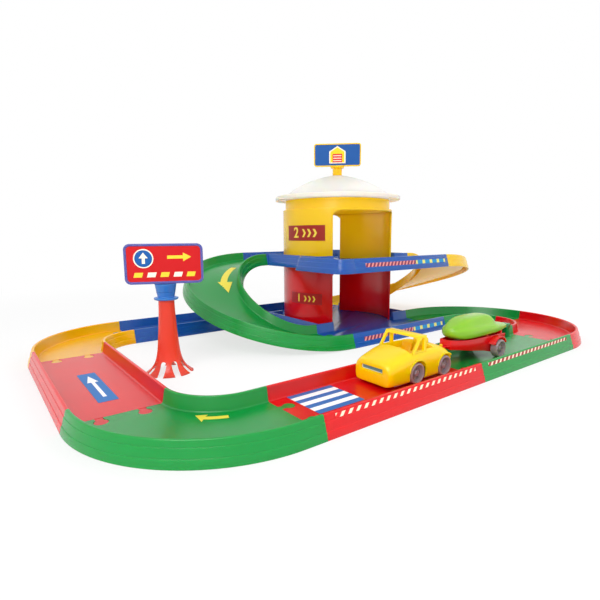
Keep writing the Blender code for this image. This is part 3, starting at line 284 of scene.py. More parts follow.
def mouldedPolypropylene(name, colour, roughness=moulding["roughness"]):
    # Injection-moulded polypropylene from a polished mould: an even, strong colour with soft gloss,
    # a faint ripple in its reflections and slow drifts of tone where the melt flowed
    material = newMaterial(name)
    place = addNode(material, "ShaderNodeTexCoord").outputs["Object"]
    flow = addNode(material, "ShaderNodeTexNoise", {
        "Vector": place, "Scale": 1 / (moulding["flowSpan"] * mm), "Detail": 2.0})
    deep = [c * (1 - moulding["flowDepth"]) for c in linear(colour)[:3]] + [1]
    tone = addNode(material, "ShaderNodeMix", {
        "Factor": flow.outputs["Fac"], "A": linear(colour), "B": deep}, data_type="RGBA")
    patches = addNode(material, "ShaderNodeTexNoise", {
        "Vector": place, "Scale": 1 / (moulding["sheenSpan"] * mm), "Detail": 3.0})
    sheen = moulding["sheenShare"] / 2
    gloss = addNode(material, "ShaderNodeMapRange", {
        "Value": patches.outputs["Fac"], "From Min": 0.3, "From Max": 0.7,
        "To Min": roughness * (1 - sheen), "To Max": roughness * (1 + sheen)})
    peel = addNode(material, "ShaderNodeTexNoise", {
        "Vector": place, "Scale": 1 / (moulding["peelSpan"] * mm), "Detail": 2.0})
    ripple = addNode(material, "ShaderNodeBump", {
        "Height": peel.outputs["Fac"], "Strength": moulding["peelStrength"],
        "Distance": moulding["peelDepth"] * mm})
    shader = addNode(material, "ShaderNodeBsdfPrincipled", {
        "Base Color": tone.outputs[2], "Roughness": gloss.outputs["Result"], "IOR": moulding["ior"],
        "Subsurface Weight": moulding["glowShare"], "Subsurface Scale": moulding["glowReach"] * mm,
        "Subsurface Radius": moulding["glowTint"], "Normal": ripple.outputs["Normal"]})
    addNode(material, "ShaderNodeOutputMaterial", {"Surface": shader.outputs["BSDF"]})
    return material


frost = {
    "roughness": 0.38,
    "ior": 1.35,
    "transmission": 0.42,
    "shadowShare": 0.65,  # how much of a lamp's light goes on through the thin wall
}


def frostedPolypropylene(name, colour):
    # Unpigmented polypropylene, etched mould: milky, lets some light and tint through, soft gloss
    material = mouldedPolypropylene(name, colour, frost["roughness"])
    shader = next(n for n in material.node_tree.nodes if n.type == "BSDF_PRINCIPLED")
    shader.inputs["Transmission Weight"].default_value = frost["transmission"]
    shader.inputs["IOR"].default_value = frost["ior"]
    rays = addNode(material, "ShaderNodeLightPath")
    passing = addNode(material, "ShaderNodeMath", {
        0: rays.outputs["Is Shadow Ray"], 1: frost["shadowShare"]}, operation="MULTIPLY")
    clear = addNode(material, "ShaderNodeBsdfTransparent")
    both = addNode(material, "ShaderNodeMixShader", {
        "Fac": passing.outputs[0], 1: shader.outputs["BSDF"], 2: clear.outputs["BSDF"]})
    output = next(n for n in material.node_tree.nodes if n.type == "OUTPUT_MATERIAL")
    material.node_tree.links.new(both.outputs["Shader"], output.inputs["Surface"])
    return material


steelWire = {
    "lineSpan": 0.4,      # mm across one drawn line
    "stretch": 0.05,      # how slowly a line changes along the wire
    "gloss": (0.22, 0.4),
}


def drawnSteel(name, colour):
    # Drawn steel wire, bright: fine lines along the wire, which lies across the car
    material = newMaterial(name)
    place = addNode(material, "ShaderNodeTexCoord").outputs["Object"]
    drawn = addNode(material, "ShaderNodeMapping", {
        "Vector": place, "Scale": (1.0, steelWire["stretch"], 1.0)})
    lines = addNode(material, "ShaderNodeTexNoise", {
        "Vector": drawn.outputs["Vector"], "Scale": 1 / (steelWire["lineSpan"] * mm)})
    smooth, rough = steelWire["gloss"]
    gloss = addNode(material, "ShaderNodeMapRange", {
        "Value": lines.outputs["Fac"], "To Min": smooth, "To Max": rough})
    shader = addNode(material, "ShaderNodeBsdfPrincipled", {
        "Base Color": linear(colour), "Metallic": 1.0, "Roughness": gloss.outputs["Result"]})
    addNode(material, "ShaderNodeOutputMaterial", {"Surface": shader.outputs["BSDF"]})
    return material


printing = {
    "grainSpan": 0.5,     # mm across one grain of the press
    "fade": 0.94,         # tone of the darker grains next to the full ink
    "roughness": 0.45,
    "ior": 1.4,
}


def printedFilm(name, colour, second=None, stripes=None, centre=None):
    # Screen-printed vinyl film: flat ink with a faint press grain under a smooth satin skin.
    # stripes is (axis, millimetres of one pair, share of the second ink, shear, axis that it leans by)
    material = newMaterial(name)
    place = addNode(material, "ShaderNodeTexCoord").outputs["Object"]
    grain = addNode(material, "ShaderNodeTexNoise", {
        "Vector": place, "Scale": 1 / (printing["grainSpan"] * mm), "Detail": 1.0})
    full = linear(colour)
    faded = [c * printing["fade"] for c in full[:3]] + [1]
    tone = addNode(material, "ShaderNodeMix", {
        "Factor": grain.outputs["Fac"], "A": full, "B": faded}, data_type="RGBA")
    result = tone.outputs[2]
    if stripes:
        axis, pair, share, shear, lean = stripes
        middle = addNode(material, "ShaderNodeVectorMath", {0: place, 1: centre}, operation="SUBTRACT")
        split = addNode(material, "ShaderNodeSeparateXYZ", {"Vector": middle.outputs["Vector"]})
        slant = addNode(material, "ShaderNodeMath", {
            0: split.outputs[lean], 1: shear, 2: split.outputs[axis]}, operation="MULTIPLY_ADD")
        count = addNode(material, "ShaderNodeMath", {
            0: slant.outputs[0], 1: 1 / (pair * mm)}, operation="MULTIPLY")
        part = addNode(material, "ShaderNodeMath", {
            0: count.outputs[0], 1: 1.0}, operation="FLOORED_MODULO")
        inSecond = addNode(material, "ShaderNodeMath", {
            0: part.outputs[0], 1: share}, operation="LESS_THAN")
        mix = addNode(material, "ShaderNodeMix", {
            "Factor": inSecond.outputs[0], "A": result, "B": linear(second)}, data_type="RGBA")
        result = mix.outputs[2]
    shader = addNode(material, "ShaderNodeBsdfPrincipled", {
        "Base Color": result, "Roughness": printing["roughness"], "IOR": printing["ior"]})
    addNode(material, "ShaderNodeOutputMaterial", {"Surface": shader.outputs["BSDF"]})
    return material


plastic = {
    "red": mouldedPolypropylene("redPolypropylene", "#E0070F"),
    "green": mouldedPolypropylene("greenPolypropylene", "#03923B"),
    "blue": mouldedPolypropylene("bluePolypropylene", "#1756AA"),
    "yellow": mouldedPolypropylene("yellowPolypropylene", "#FFC400"),
    "lemon": mouldedPolypropylene("lemonPolypropylene", "#FFD400"),
    "amber": mouldedPolypropylene("amberPolypropylene", "#FFB000"),
    "frosted": frostedPolypropylene("frostedPolypropylene", "#F7F3EB"),
    "orange": mouldedPolypropylene("orangePolypropylene", "#E63A20"),
    "sky": mouldedPolypropylene("skyPolypropylene", "#2F74C0"),
    "violet": mouldedPolypropylene("violetPolypropylene", "#5A5FA8"),
    "lime": mouldedPolypropylene("limePolypropylene", "#8CC62C"),
    "bottle": mouldedPolypropylene("bottlePolypropylene", "#12803F"),
    "mauve": mouldedPolypropylene("mauvePolypropylene", "#988A8D"),
    "steel": drawnSteel("drawnSteel", "#B4B6B9"),
}
print("materials made")


# Camera

view = {
    "place": (-0.5158, -0.5995, 0.1915),
    "heading": 0.646731,  # from +Y towards +X
    "pitch": 0.147577,    # below level
    "roll": -0.005681,
    "lens": 26.276,
    "sensor": 36.0,
    "clip": (0.01, 30.0),
}


def buildCamera():
    heading, pitch, roll = view["heading"], view["pitch"], view["roll"]
    ahead = Vector((sin(heading) * cos(pitch), cos(heading) * cos(pitch), -sin(pitch)))
    level = Vector((cos(heading), -sin(heading), 0))
    right = cos(roll) * level + sin(roll) * level.cross(ahead)
    over = right.cross(ahead)
    turn = Matrix((right, over, -ahead)).transposed().to_4x4()
    camera = bpy.data.objects.new("camera", bpy.data.cameras.new("camera"))
    bpy.context.scene.collection.objects.link(camera)
    camera.data.lens = view["lens"]
    camera.data.sensor_width = view["sensor"]
    camera.data.clip_start, camera.data.clip_end = view["clip"]
    camera.matrix_world = Matrix.Translation(view["place"]) @ turn
    bpy.context.scene.camera = camera


buildCamera()


# Studio: a pale paper floor, soft lamps and a white surround

studio = {
    "floorSize": 14.0,
    "floorDrop": 0.0002,         # how far the floor lies under the object's feet
    "paper": ("#F6F6F6", "#FAFAFA"),
    "shadowShare": 0.30,         # how much of the floor's own light the camera sees near the object
    "shadowReach": (0.65, 1.3),  # the floor's shadows fade to white between these distances
    "surround": 0.42,            # light from all round
    "lamps": [
        # name, place, size, watts, whether it is mirrored in gloss
        ("keyLamp", (-1.3, -0.9, 1.5), 1.5, 22.0, True),
        ("fillLamp", (1.2, -1.6, 1.2), 1.6, 12.0, False),
        ("backLamp", (0.3, 1.8, 1.6), 1.4, 10.0, False),
        ("lowLamp", (-1.7, -1.5, 0.38), 1.2, 15.0, False),
        ("rightLamp", (1.5, 0.1, 1.5), 1.3, 11.0, False),
    ],
}


def raysThatSee(material):
    # 1 for rays from the camera, off gloss and through clear plastic, else 0
    rays = addNode(material, "ShaderNodeLightPath")
    direct = addNode(material, "ShaderNodeMath", {
        0: rays.outputs["Is Camera Ray"], 1: rays.outputs["Is Glossy Ray"]}, operation="MAXIMUM")
    every = addNode(material, "ShaderNodeMath", {
        0: direct.outputs[0], 1: rays.outputs["Is Transmission Ray"]}, operation="MAXIMUM")
    return every.outputs[0]


def buildStudio():
    bpy.ops.mesh.primitive_plane_add(size=studio["floorSize"], location=(0, 0, -studio["floorDrop"]))
    floor = bpy.context.object
    floor.name = "floor"
    # Matt white background paper, rolled: fine fibre grain of about 1 mm
    paper = newMaterial("mattPaper")
    place = addNode(paper, "ShaderNodeTexCoord").outputs["Object"]
    fibre = addNode(paper, "ShaderNodeTexNoise", {"Vector": place, "Scale": 1 / mm, "Detail": 2.0})
    dull, bright = [linear(code) for code in studio["paper"]]
    tone = addNode(paper, "ShaderNodeMix", {
        "Factor": fibre.outputs["Fac"], "A": dull, "B": bright}, data_type="RGBA")
    matt = addNode(paper, "ShaderNodeBsdfDiffuse", {"Color": tone.outputs[2]})
    white = addNode(paper, "ShaderNodeEmission", {"Strength": 1.0})
    distance = addNode(paper, "ShaderNodeVectorMath", {0: place}, operation="LENGTH")
    near, far = studio["shadowReach"]
    fade = addNode(paper, "ShaderNodeMapRange", {
        "Value": distance.outputs["Value"], "From Min": near, "From Max": far,
        "To Min": 1 - studio["shadowShare"], "To Max": 1.0}, interpolation_type="SMOOTHSTEP")
    share = addNode(paper, "ShaderNodeMath", {
        0: raysThatSee(paper), 1: fade.outputs["Result"]}, operation="MULTIPLY")
    both = addNode(paper, "ShaderNodeMixShader", {
        "Fac": share.outputs[0], 1: matt.outputs["BSDF"], 2: white.outputs["Emission"]})
    addNode(paper, "ShaderNodeOutputMaterial", {"Surface": both.outputs["Shader"]})
    floor.data.materials.append(paper)

    world = bpy.data.worlds.new("surround")
    world.use_nodes = True
    world.node_tree.nodes.clear()
    soft = addNode(world, "ShaderNodeBackground", {
        "Color": (1, 1, 1, 1), "Strength": studio["surround"]})
    white = addNode(world, "ShaderNodeBackground", {"Color": (1, 1, 1, 1), "Strength": 1.0})
    both = addNode(world, "ShaderNodeMixShader", {
        "Fac": raysThatSee(world), 1: soft.outputs["Background"], 2: white.outputs["Background"]})
    addNode(world, "ShaderNodeOutputWorld", {"Surface": both.outputs["Shader"]})
    bpy.context.scene.world = world

    for name, place, size, watts, mirrored in studio["lamps"]:
        lamp = bpy.data.lights.new(name, "AREA")
        lamp.shape = "DISK"
        lamp.size = size
        lamp.energy = watts
        item = bpy.data.objects.new(name, lamp)
        bpy.context.scene.collection.objects.link(item)
        item.location = place
        item.rotation_euler = (-Vector(place)).to_track_quat("-Z", "Y").to_euler()
        item.visible_glossy = mirrored


buildStudio()
bpy.context.scene.view_settings.view_transform = "Standard"
print("camera and studio set")


# Road mouldings: one cross-section runs through straights, corners and ramps

road = {
    "width": 116.0,
    "straight": 270.0,
    "cornerRadius": 172.0,
    "cornerLead": 26.0,
    "wallHeight": 24.0,
    "wallLean": 6.8,
    "rimWidth": 3.6,
    "wallWidth": 13.6,
    "mouldings": (8.0, 16.8),   # heights of the two steps on the outer face
    "mouldingStep": 0.8,
    "mouldingSlope": 0.5,       # height that a step takes
    "stepRound": 0.25,
    "edgeRound": 0.3,
    "skin": 2.3,
    "sideSkin": 0.8,            # the wall's sides next to its top, which is a full skin
    "hollowRound": 0.5,
    "hollowRoot": 1.0,
    "floorTop": 7.0,
    "floorThickness": 2.4,
    "rimRound": 1.5,
    "innerRim": 0.7,            # the rim's inner edge is this much tighter
    "rootRound": 2.2,
    "cornerSteps": 40,
    "rampSteps": 72,
    "knobSpacing": 44.0,
    "knobRadius": 7.0,
    "neckWidth": 8.0,
    "neckLength": 6.0,
    "knobSink": 0.3,
    "knobRoot": 1.2,            # how far a knob's neck starts inside its own road
    "socketPast": 1.0,          # how far a socket's cutter reaches past the floor
    "seam": 0.3,
    "deckLength": 256.0,
    "storey": 127.5,
    "rampLead": 16.0,
}
floorUnder = road["floorTop"] - road["floorThickness"]
deckDepth = road["straight"] + road["width"]
deckFront = 2 * road["cornerRadius"] - road["width"]
deckBack = deckFront + deckDepth
deckRight = 2 * road["straight"] - road["cornerLead"]
deckLeft = deckRight - road["deckLength"]
towerX = (deckLeft + deckRight) / 2
towerY = (deckFront + deckBack) / 2


def wallOutline(mirrorAt=None):
    # outer foot, up over the rim, down to the road; (distance in, height, rounding)
    low, high = road["mouldings"]
    lowTop, highTop = low + road["mouldingSlope"], high + road["mouldingSlope"]
    step, lean, height = road["mouldingStep"], road["wallLean"], road["wallHeight"]
    edge, inside = road["edgeRound"], road["stepRound"]
    slope = (lean - 2 * step) / height
    points = [
        (0.0, 0.0, edge),
        (slope * low, low, inside),
        (slope * lowTop + step, lowTop, edge),
        (slope * high + step, high, inside),
        (slope * highTop + 2 * step, highTop, edge),
        (lean, height, road["rimRound"]),
        (lean + road["rimWidth"], height, road["rimRound"] * road["innerRim"]),
        (road["wallWidth"], road["floorTop"], road["rootRound"]),
    ]
    if mirrorAt:
        return [(mirrorAt - u, v, r) for u, v, r in reversed(points)]
    return points


def channelOutline(width):
    # the whole cross-section: two walls, hollow and open below, and the floor between them
    lean, skin = road["wallLean"], road["skin"]
    side, ceiling = road["sideSkin"] * skin, road["wallHeight"] - skin
    under = [
        (skin, 0.0, road["edgeRound"]),
        (lean + side, ceiling, road["hollowRound"]),
        (lean + road["rimWidth"], ceiling, road["hollowRound"]),
        (road["wallWidth"] - side, floorUnder, road["hollowRoot"]),
    ]
    mirrored = [(width - u, v, r) for u, v, r in under]
    outline = wallOutline() + wallOutline(width) + mirrored + list(reversed(under))
    return scaled([(0, u, v) for u, v in rounded(outline, 3)])


def along(heading):
    return Vector((cos(heading), sin(heading), 0))


def follow(place, heading, side, leg):
    # where a leg of road ends; a leg is (length, None) or (angle, radius)
    amount, radius = leg
    if radius is None:
        return place + along(heading) * amount * mm, heading
    centre = place + along(heading + side * pi / 2) * radius * mm
    turn = side * amount
    return centre + Matrix.Rotation(turn, 3, "Z") @ (place - centre), heading + turn


def layRoad(section, name, place, heading, side, legs, rise=None):
    # pulls and spins the cross-section along its legs; rise gives a height for a share of the way
    gap = road["seam"] / 2 * mm
    start = place + along(heading) * gap
    item = copyOf(section, name)
    item.data.transform(Matrix.Translation(start) @ Matrix.Rotation(heading, 4, "Z")
                        @ Matrix.Scale(side, 4, (0, 1, 0)))
    openMesh(item)
    total = sum(amount if radius is None else amount * (radius - road["width"] / 2)
                for amount, radius in legs)
    travelled = 0.0
    lifted = 0.0
    upright = (0, 0, 1)
    for index, (amount, radius) in enumerate(legs):
        if radius is None:
            reach = amount * mm - gap * ((index == 0) + (index == len(legs) - 1))
            travelled += amount
            climb = (rise(travelled / total) - lifted) * mm if rise else 0.0
            pull = along(heading) * reach + Vector((0, 0, climb))
            bpy.ops.mesh.extrude_edges_move(TRANSFORM_OT_translate={"value": pull})
            lifted += climb / mm
        else:
            centre = place + along(heading + side * pi / 2) * radius * mm
            trimStart = gap / (radius * mm) if index == 0 else 0.0
            trimEnd = gap / (radius * mm) if index == len(legs) - 1 else 0.0
            angle = -side * (amount - trimStart - trimEnd)
            if rise:
                steps = road["rampSteps"]
                for step in range(steps):
                    bpy.ops.mesh.spin(steps=1, angle=angle / steps, center=centre, axis=upright)
                    travelled += amount * (radius - road["width"] / 2) / steps
                    climb = (rise(travelled / total) - lifted) * mm
                    bpy.ops.transform.translate(value=(0, 0, climb))
                    lifted += climb / mm
            else:
                bpy.ops.mesh.spin(steps=road["cornerSteps"], angle=angle, center=centre, axis=upright)
        place, heading = follow(place, heading, side, (amount, radius))
    return capEnds(item), place, heading


def knobForm(grow, low, high):
    # plan of a jigsaw knob past its seam, as an upright plug
    half = road["neckWidth"] / 2 + grow
    radius = road["knobRadius"] + grow
    middle = road["neckLength"] + sqrt(road["knobRadius"] ** 2 - (road["neckWidth"] / 2) ** 2)
    gape = pi - atan2(half, sqrt(radius ** 2 - half ** 2))
    root = -road["knobRoot"]
    outline = [(root, -half)] + arc((middle, 0), radius, -gape, gape, 20) + [(root, half)]
    return cutOut("knob", scaled([(x, y, low) for x, y in outline]), (0, 0, (high - low) * mm))


def knobsAt(form, place, heading, side, height=0.0):
    tools = []
    for offset in (-road["knobSpacing"] / 2, road["knobSpacing"] / 2):
        middle = place + along(heading + side * pi / 2) * (road["width"] / 2 + offset) * mm
        middle.z += height * mm
        there = Matrix.Translation(middle) @ Matrix.Rotation(heading, 4, "Z")
        tools.append(copyOf(form, "knobTool", there))
    return tools


def rampClimb(share):
    # height of a ramp's road over its foot, for a share of the way
    share = min(1.0, max(0.0, share))
    return road["storey"] * (3 * share ** 2 - 2 * share ** 3)


def buildRoads():
    section = trace("section", channelOutline(road["width"]))
    closeMesh(section)
    knob = knobForm(0.0, floorUnder + road["knobSink"], road["floorTop"] - road["knobSink"])
    socket = knobForm(road["seam"], -road["socketPast"], road["floorTop"] + road["socketPast"])
    quarter = (pi / 2, road["cornerRadius"])
    lead = (road["cornerLead"], None)
    straight = (road["straight"], None)
    toDeck = (2 * road["straight"] - road["deckLength"], None)
    pieces = [
        # node, name, colour, legs: once round from the back of the decks
        ("road_straight_back", "backStraight", "blue", [toDeck]),
        ("road_corner_back_left", "backLeftCorner", "amber", [quarter]),
        ("road_straight_left", "leftStraight", "red", [straight]),
        ("road_corner_front_left", "frontLeftCorner", "green", [quarter, lead]),
        ("road_straight_front", "frontStraight", "red", [straight]),
        ("road_straight_front_right", "frontRightStraight", "green", [straight]),
        ("road_corner_right", "rightCorner", "red", [quarter]),
        ("road_corner_back_right", "backRightCorner", "green", [quarter, lead]),
    ]
    place, heading = spot(deckLeft, deckBack), pi
    for node, name, colour, legs in pieces:
        item, endPlace, endHeading = layRoad(section, name, place, heading, 1, legs)
        carve(item, *knobsAt(socket, place, heading, 1))
        carve(item, *knobsAt(knob, endPlace, endHeading, 1), operation="UNION")
        present(item, "layout", plastic[colour], [node])
        place, heading = endPlace, endHeading
    print("roads made")

    ramps = [
        ("ramp_green", "greenRamp", "green", spot(deckLeft, deckFront), pi, -1,
         spot(deckLeft, deckBack), pi, 1),
        ("ramp_yellow", "yellowRamp", "yellow", spot(deckRight, deckBack), 0.0, -1,
         spot(deckRight, deckFront), 0.0, 1),
    ]
    legs = [(road["rampLead"], None), (pi, deckDepth / 2), (road["rampLead"], None)]
    for node, name, colour, foot, heading, side, top, topHeading, topSide in ramps:
        item, _, _ = layRoad(section, name, foot, heading, side, legs, rampClimb)
        carve(item, *knobsAt(knob, foot, heading + pi, -side), operation="UNION")
        carve(item, *knobsAt(knob, top, topHeading + pi, -topSide, road["storey"]), operation="UNION")
        present(item, "layout", plastic[colour], [node])
    for spare in (section, knob, socket):
        bpy.data.objects.remove(spare)
    print("ramps made")


buildRoads()


# Decks and end caps: the frame's forms with moulded, eased edges

easing = {
    "flat": radians(0.5),   # faces closer in angle than this are one face
    "edge": radians(35),    # edges sharper than this are eased
    "smooth": 35,           # degrees
    "deck": 0.7,
}


def eased(node, name, body, colour, width):
    item = mend(copyOf(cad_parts[node], name))
    openMesh(item)
    bpy.ops.mesh.dissolve_limited(angle_limit=easing["flat"])
    closeMesh(item)
    soften(item, width, easing["edge"], 2)
    return present(item, body, plastic[colour], [node], easing["smooth"])


for node, name in (("base_deck", "baseDeck"), ("upper_deck", "upperDeck"),
                   ("end_cap_left", "leftEndCap"), ("end_cap_right", "rightEndCap")):
    eased(node, name, "layout", "blue", easing["deck"])
print("decks made")


# Tower: two round shells with doorways

tower = {
    "radius": 115.0,
    "wall": 2.2,
    "steps": 128,
    "lowerTop": 131.8,
    "lowerDoor": 122.5,
    "upperDoor": 238.0,
    "doorHalf": radians(46.5),
    "doorCorner": 15.0,
    "doorBelow": 6.0,       # how far the doorway's cutter reaches under the shell
    "jamb": 1.8,            # radius of the flange along a doorway
    "jambRound": (0.4, 1.2),
    "shoulder": 240.8,
    "shoulderRound": 1.6,
    "collar": 5.0,
    "top": 261.7,
    "edge": 0.4,            # rounding of the shells' lower edges
    "rim": 0.6,
    "topRound": 0.5,
    "tab": (13.0, 2.2, radians(28)),  # width, depth, angle from the middle
    "tabInset": 0.3,
    "tabRoot": 2.0,
}


def buildShell(node, name, colour, profile, base, doorTop):
    centre = spot(towerX, towerY)
    shell = turned(name, scaled(profile), centre, tower["steps"])
    half = tower["radius"] * sin(tower["doorHalf"])
    outline = rounded(oblong(-half, base - tower["doorBelow"], half, doorTop, 0, tower["doorCorner"]), 8)
    far = 2 * tower["radius"]
    points = [centre + Vector((x, -far, z)) * mm for x, z in outline]
    carve(shell, cutOut("door", points, (0, 2 * far * mm, 0)))
    # a rounded flange stands along each side of both doorways
    ring = tower["radius"] - tower["wall"] / 2
    for quarter in range(4):
        angle = pi / 4 + quarter * pi / 2 - (-1) ** quarter * (tower["doorHalf"] - pi / 4)
        post = centre + along(angle) * ring * mm
        r = tower["jamb"]
        foot, head = tower["jambRound"]
        bead = rounded([(0.0, base, 0), (r, base, foot), (r, doorTop, head), (0.0, doorTop, 0)], 3)
        flange = turned("flange", scaled(bead), post, 20, closed=False)
        carve(shell, flange, operation="UNION")
    width, depth, lean = tower["tab"]
    for middle in (0, pi):
        for angle in (middle - lean, middle + lean):
            outer = tower["radius"] - tower["tabInset"]
            inner = tower["radius"] - tower["wall"] + tower["tabInset"]
            plan = oblong(inner, -width / 2, outer, width / 2)
            turn = Matrix.Rotation(angle, 3, "Z")
            points = [centre + turn @ Vector((x, y, base - depth)) * mm for x, y, _ in plan]
            pull = (0, 0, (depth + tower["tabRoot"]) * mm)
            carve(shell, cutOut("tab", points, pull), operation="UNION")
    present(shell, "layout", plastic[colour], [node])


def buildTower():
    outer, inner = tower["radius"], tower["radius"] - tower["wall"]
    edge, rim, topRound = tower["edge"], tower["rim"], tower["topRound"]
    base = road["floorTop"] + road["seam"]
    lower = rounded(oblong(inner, base, outer, tower["lowerTop"], edge, rim), 3)
    buildShell("lower_tower", "lowerShell", "red", lower, base, tower["lowerDoor"])
    base += road["storey"]
    collar = tower["collar"]
    outside, inside = tower["shoulder"] + collar / 3, tower["shoulder"] - collar / 3
    upper = rounded([
        (inner, base, edge), (outer, base, edge), (outer, outside, tower["shoulderRound"]),
        (outer - collar, outside, rim), (outer - collar, tower["top"], topRound),
        (inner - collar, tower["top"], topRound), (inner - collar, inside, edge),
        (inner, inside, edge)], 3)
    buildShell("upper_tower", "upperShell", "yellow", upper, base, tower["upperDoor"])
    print("tower made")


buildTower()


# Roof: a shallow frosted dome with a post and a framed plate

roof = {
    "brim": 131.0,
    "rise": 51.5,
    "bell": [  # radius and height over the seat, from the brim to the crown
        (131.0, 7.0), (129.6, 8.4), (122.0, 9.4), (112.0, 11.4), (103.0, 15.0), (95.0, 20.5),
        (87.0, 26.5), (78.0, 31.5), (67.0, 36.4), (55.0, 41.0), (42.0, 45.2), (29.0, 48.8), (20.0, 50.8)],
    "wall": 2.2,
    "crownFlat": 3,         # walls from the post to the flat crown's edge
    "crownSkin": 1.2,       # walls measured straight down where the dome slopes
    "plugSkin": 1.5,
    "brimEdge": 0.5,
    "skirt": 5.5,
    "plugPlay": 0.5,        # between the skirt and the tower's collar
    "post": 9.8,
    "postHeight": 19.5,
    "flange": (14.0, 4.0),  # radius and depth of the post's head
    "pegRadius": 6.0,
    "pegLength": 9.0,
    "pegPlay": 0.4,
    "plate": (98.0, 46.4, 6.0),
    "frame": (5.0, 1.8, 0.8),  # corner, rim and recess of the plate
    "turn": radians(-42.6),
    "steps": 128,
}


def buildRoof():
    centre = spot(towerX, towerY)
    seat = tower["top"] + road["seam"]
    wall = roof["wall"]

    def rise(radius):
        # height of the bell over its seat
        points = [(0.0, roof["rise"])] + roof["bell"][::-1]
        for (r0, z0), (r1, z1) in zip(points, points[1:]):
            if radius <= r1:
                return seat + z0 + (z1 - z0) * (radius - r0) / (r1 - r0)

    brim, edge, skirtEnd = roof["brim"], roof["brimEdge"], seat - roof["skirt"]
    crownSkin, plugSkin = roof["crownSkin"] * wall, roof["plugSkin"] * wall
    hole = roof["pegRadius"] + roof["pegPlay"]
    flat = roof["post"] + roof["crownFlat"] * wall
    outside = [(brim - edge, seat), (brim, seat + edge)]
    outside += [(r, seat + z) for r, z in roof["bell"]]
    top = seat + roof["rise"]
    outside += [(flat, top), (hole, top), (hole, top - wall), (flat, top - wall)]
    plugOuter = tower["radius"] - tower["wall"] - tower["collar"] - roof["plugPlay"]
    plugInner = plugOuter - wall
    inside = [(r, rise(r) - crownSkin) for r, z in roof["bell"][::-1] if r < plugInner - 1]
    inside.append((plugInner, rise(plugInner) - plugSkin))
    inside += [(plugInner, skirtEnd), (plugOuter, skirtEnd), (plugOuter, seat)]
    # the brim is hollow from below
    hollow = plugOuter + wall
    under = [(hollow, seat), (hollow, rise(hollow) - wall),
             (brim - wall, rise(brim - 2) - crownSkin), (brim - wall, seat)]
    dome = turned("dome", scaled(outside + inside + under), centre, roof["steps"])
    present(dome, "roof", plastic["frosted"], ["roof_dome"])

    base = top + road["seam"]
    head = base + roof["postHeight"]
    peg, bore, pegEnd = roof["pegRadius"], roof["pegRadius"] - wall, base - roof["pegLength"]
    flangeRadius, flangeDepth = roof["flange"]
    profile = rounded([
        (bore, pegEnd, 0), (peg, pegEnd, 0.4), (peg, base, 0), (roof["post"], base, 0.3),
        (roof["post"], head - flangeDepth, 1.2), (flangeRadius, head - 0.8 * flangeDepth, 0.5),
        (flangeRadius, head, 0.5), (0.0, head, 0), (0.0, head - flangeDepth, 0),
        (bore, head - flangeDepth, 0)], 4)
    post = turned("roofPost", scaled(profile), centre, 48)
    present(post, "roof_sign", plastic["yellow"], ["roof_sign_post"])
    return centre + Vector((0, 0, (head + road["seam"]) * mm))


pressed = {
    "bevel": 0.3,      # how far the recess slopes
    "ease": 0.8,
    "film": 0.2,       # thickness of every printed film and mark
    "filmGap": 0.5,    # between a film and the rim
}


def framedPlate(name, size, corner, rim, recess):
    # an upright plate with a raised rim round a sunk face on both sides, standing on the origin
    width, height, thickness = [value * mm for value in size]
    bpy.ops.mesh.primitive_cube_add(
        size=1, location=(0, 0, height / 2), scale=(width, thickness, height))
    item = bpy.context.object
    item.name = name
    bpy.ops.object.transform_apply(location=True, rotation=True, scale=True)
    openMesh(item, "EDGE")
    form = bmesh.from_edit_mesh(item.data)
    bpy.ops.mesh.select_all(action="DESELECT")
    for edge in form.edges:
        ends = edge.verts[0].co - edge.verts[1].co
        edge.select = abs(ends.y) > thickness * 0.9
    bmesh.update_edit_mesh(item.data)
    bpy.ops.mesh.bevel(offset=corner * mm, segments=8, affect="EDGES")
    bpy.ops.mesh.select_mode(type="FACE")
    pick(item, lambda place, normal: abs(normal.y) > 0.9)
    bpy.ops.mesh.inset(thickness=rim * mm, use_individual=True)
    bpy.ops.mesh.inset(thickness=pressed["bevel"] * mm, depth=-recess * mm, use_individual=True)
    closeMesh(item)
    soften(item, pressed["ease"], radians(60))
    return mend(item)


def flatMark(name, outline, depth):
    # a thin upright film, facing -Y
    points = scaled([(x, depth, z) for x, z in outline])
    return cutOut(name, points, (0, -pressed["film"] * mm, 0))


def signFace(name, size, corner, rim, depth):
    # a film that fills the sunk face of a plate
    gap = rim + pressed["filmGap"]
    half, top = size[0] / 2 - gap, size[1] - gap
    outline = rounded(oblong(-half, gap, half, top, max(corner - rim, 1.0)), 6)
    return flatMark(name, outline, depth)


def arrowOutline(x, z, length, shaft, head, headLength):
    # an arrow pointing to +x, from its tail
    tip, neck = x + length, x + length - headLength
    return [(x, z - shaft / 2), (neck, z - shaft / 2), (neck, z - head / 2), (tip, z),
            (neck, z + head / 2), (neck, z + shaft / 2), (x, z + shaft / 2)]


def printPlate(name, body, plate, foot, heading, ground, marks):
    # prints both faces of a plate of (size, frame): a film in its ground colour, and the marks
    # on it; each mark is (name, outline, how many films high, material)
    size, frameSize = plate
    face = frameSize[2] - size[2] / 2
    for facing, suffix in ((0, "Front"), (pi, "Back")):
        turn = (0, 0, heading + facing)
        film = settle(signFace(name + suffix, size, *frameSize[:2], face), foot, turn)
        present(film, body, ground)
        for markName, outline, layer, material in marks:
            mark = flatMark(markName + suffix, outline, face - layer * pressed["film"])
            present(settle(mark, foot, turn), body, material)


garageMark = {
    # a plain garage about the middle of the plate: half width, foot, eaves and peak
    "gable": (17.0, -17.0, 7.0, 18.0),
    "wall": (14.5, -15.0, 6.0, 15.2),
    "shutter": (10.0, -15.0, 2.0),
    "slats": 3,
    "slat": (8.5, -12.5, 1.6),  # half width, foot, height
    "slatSpacing": 5.0,
}


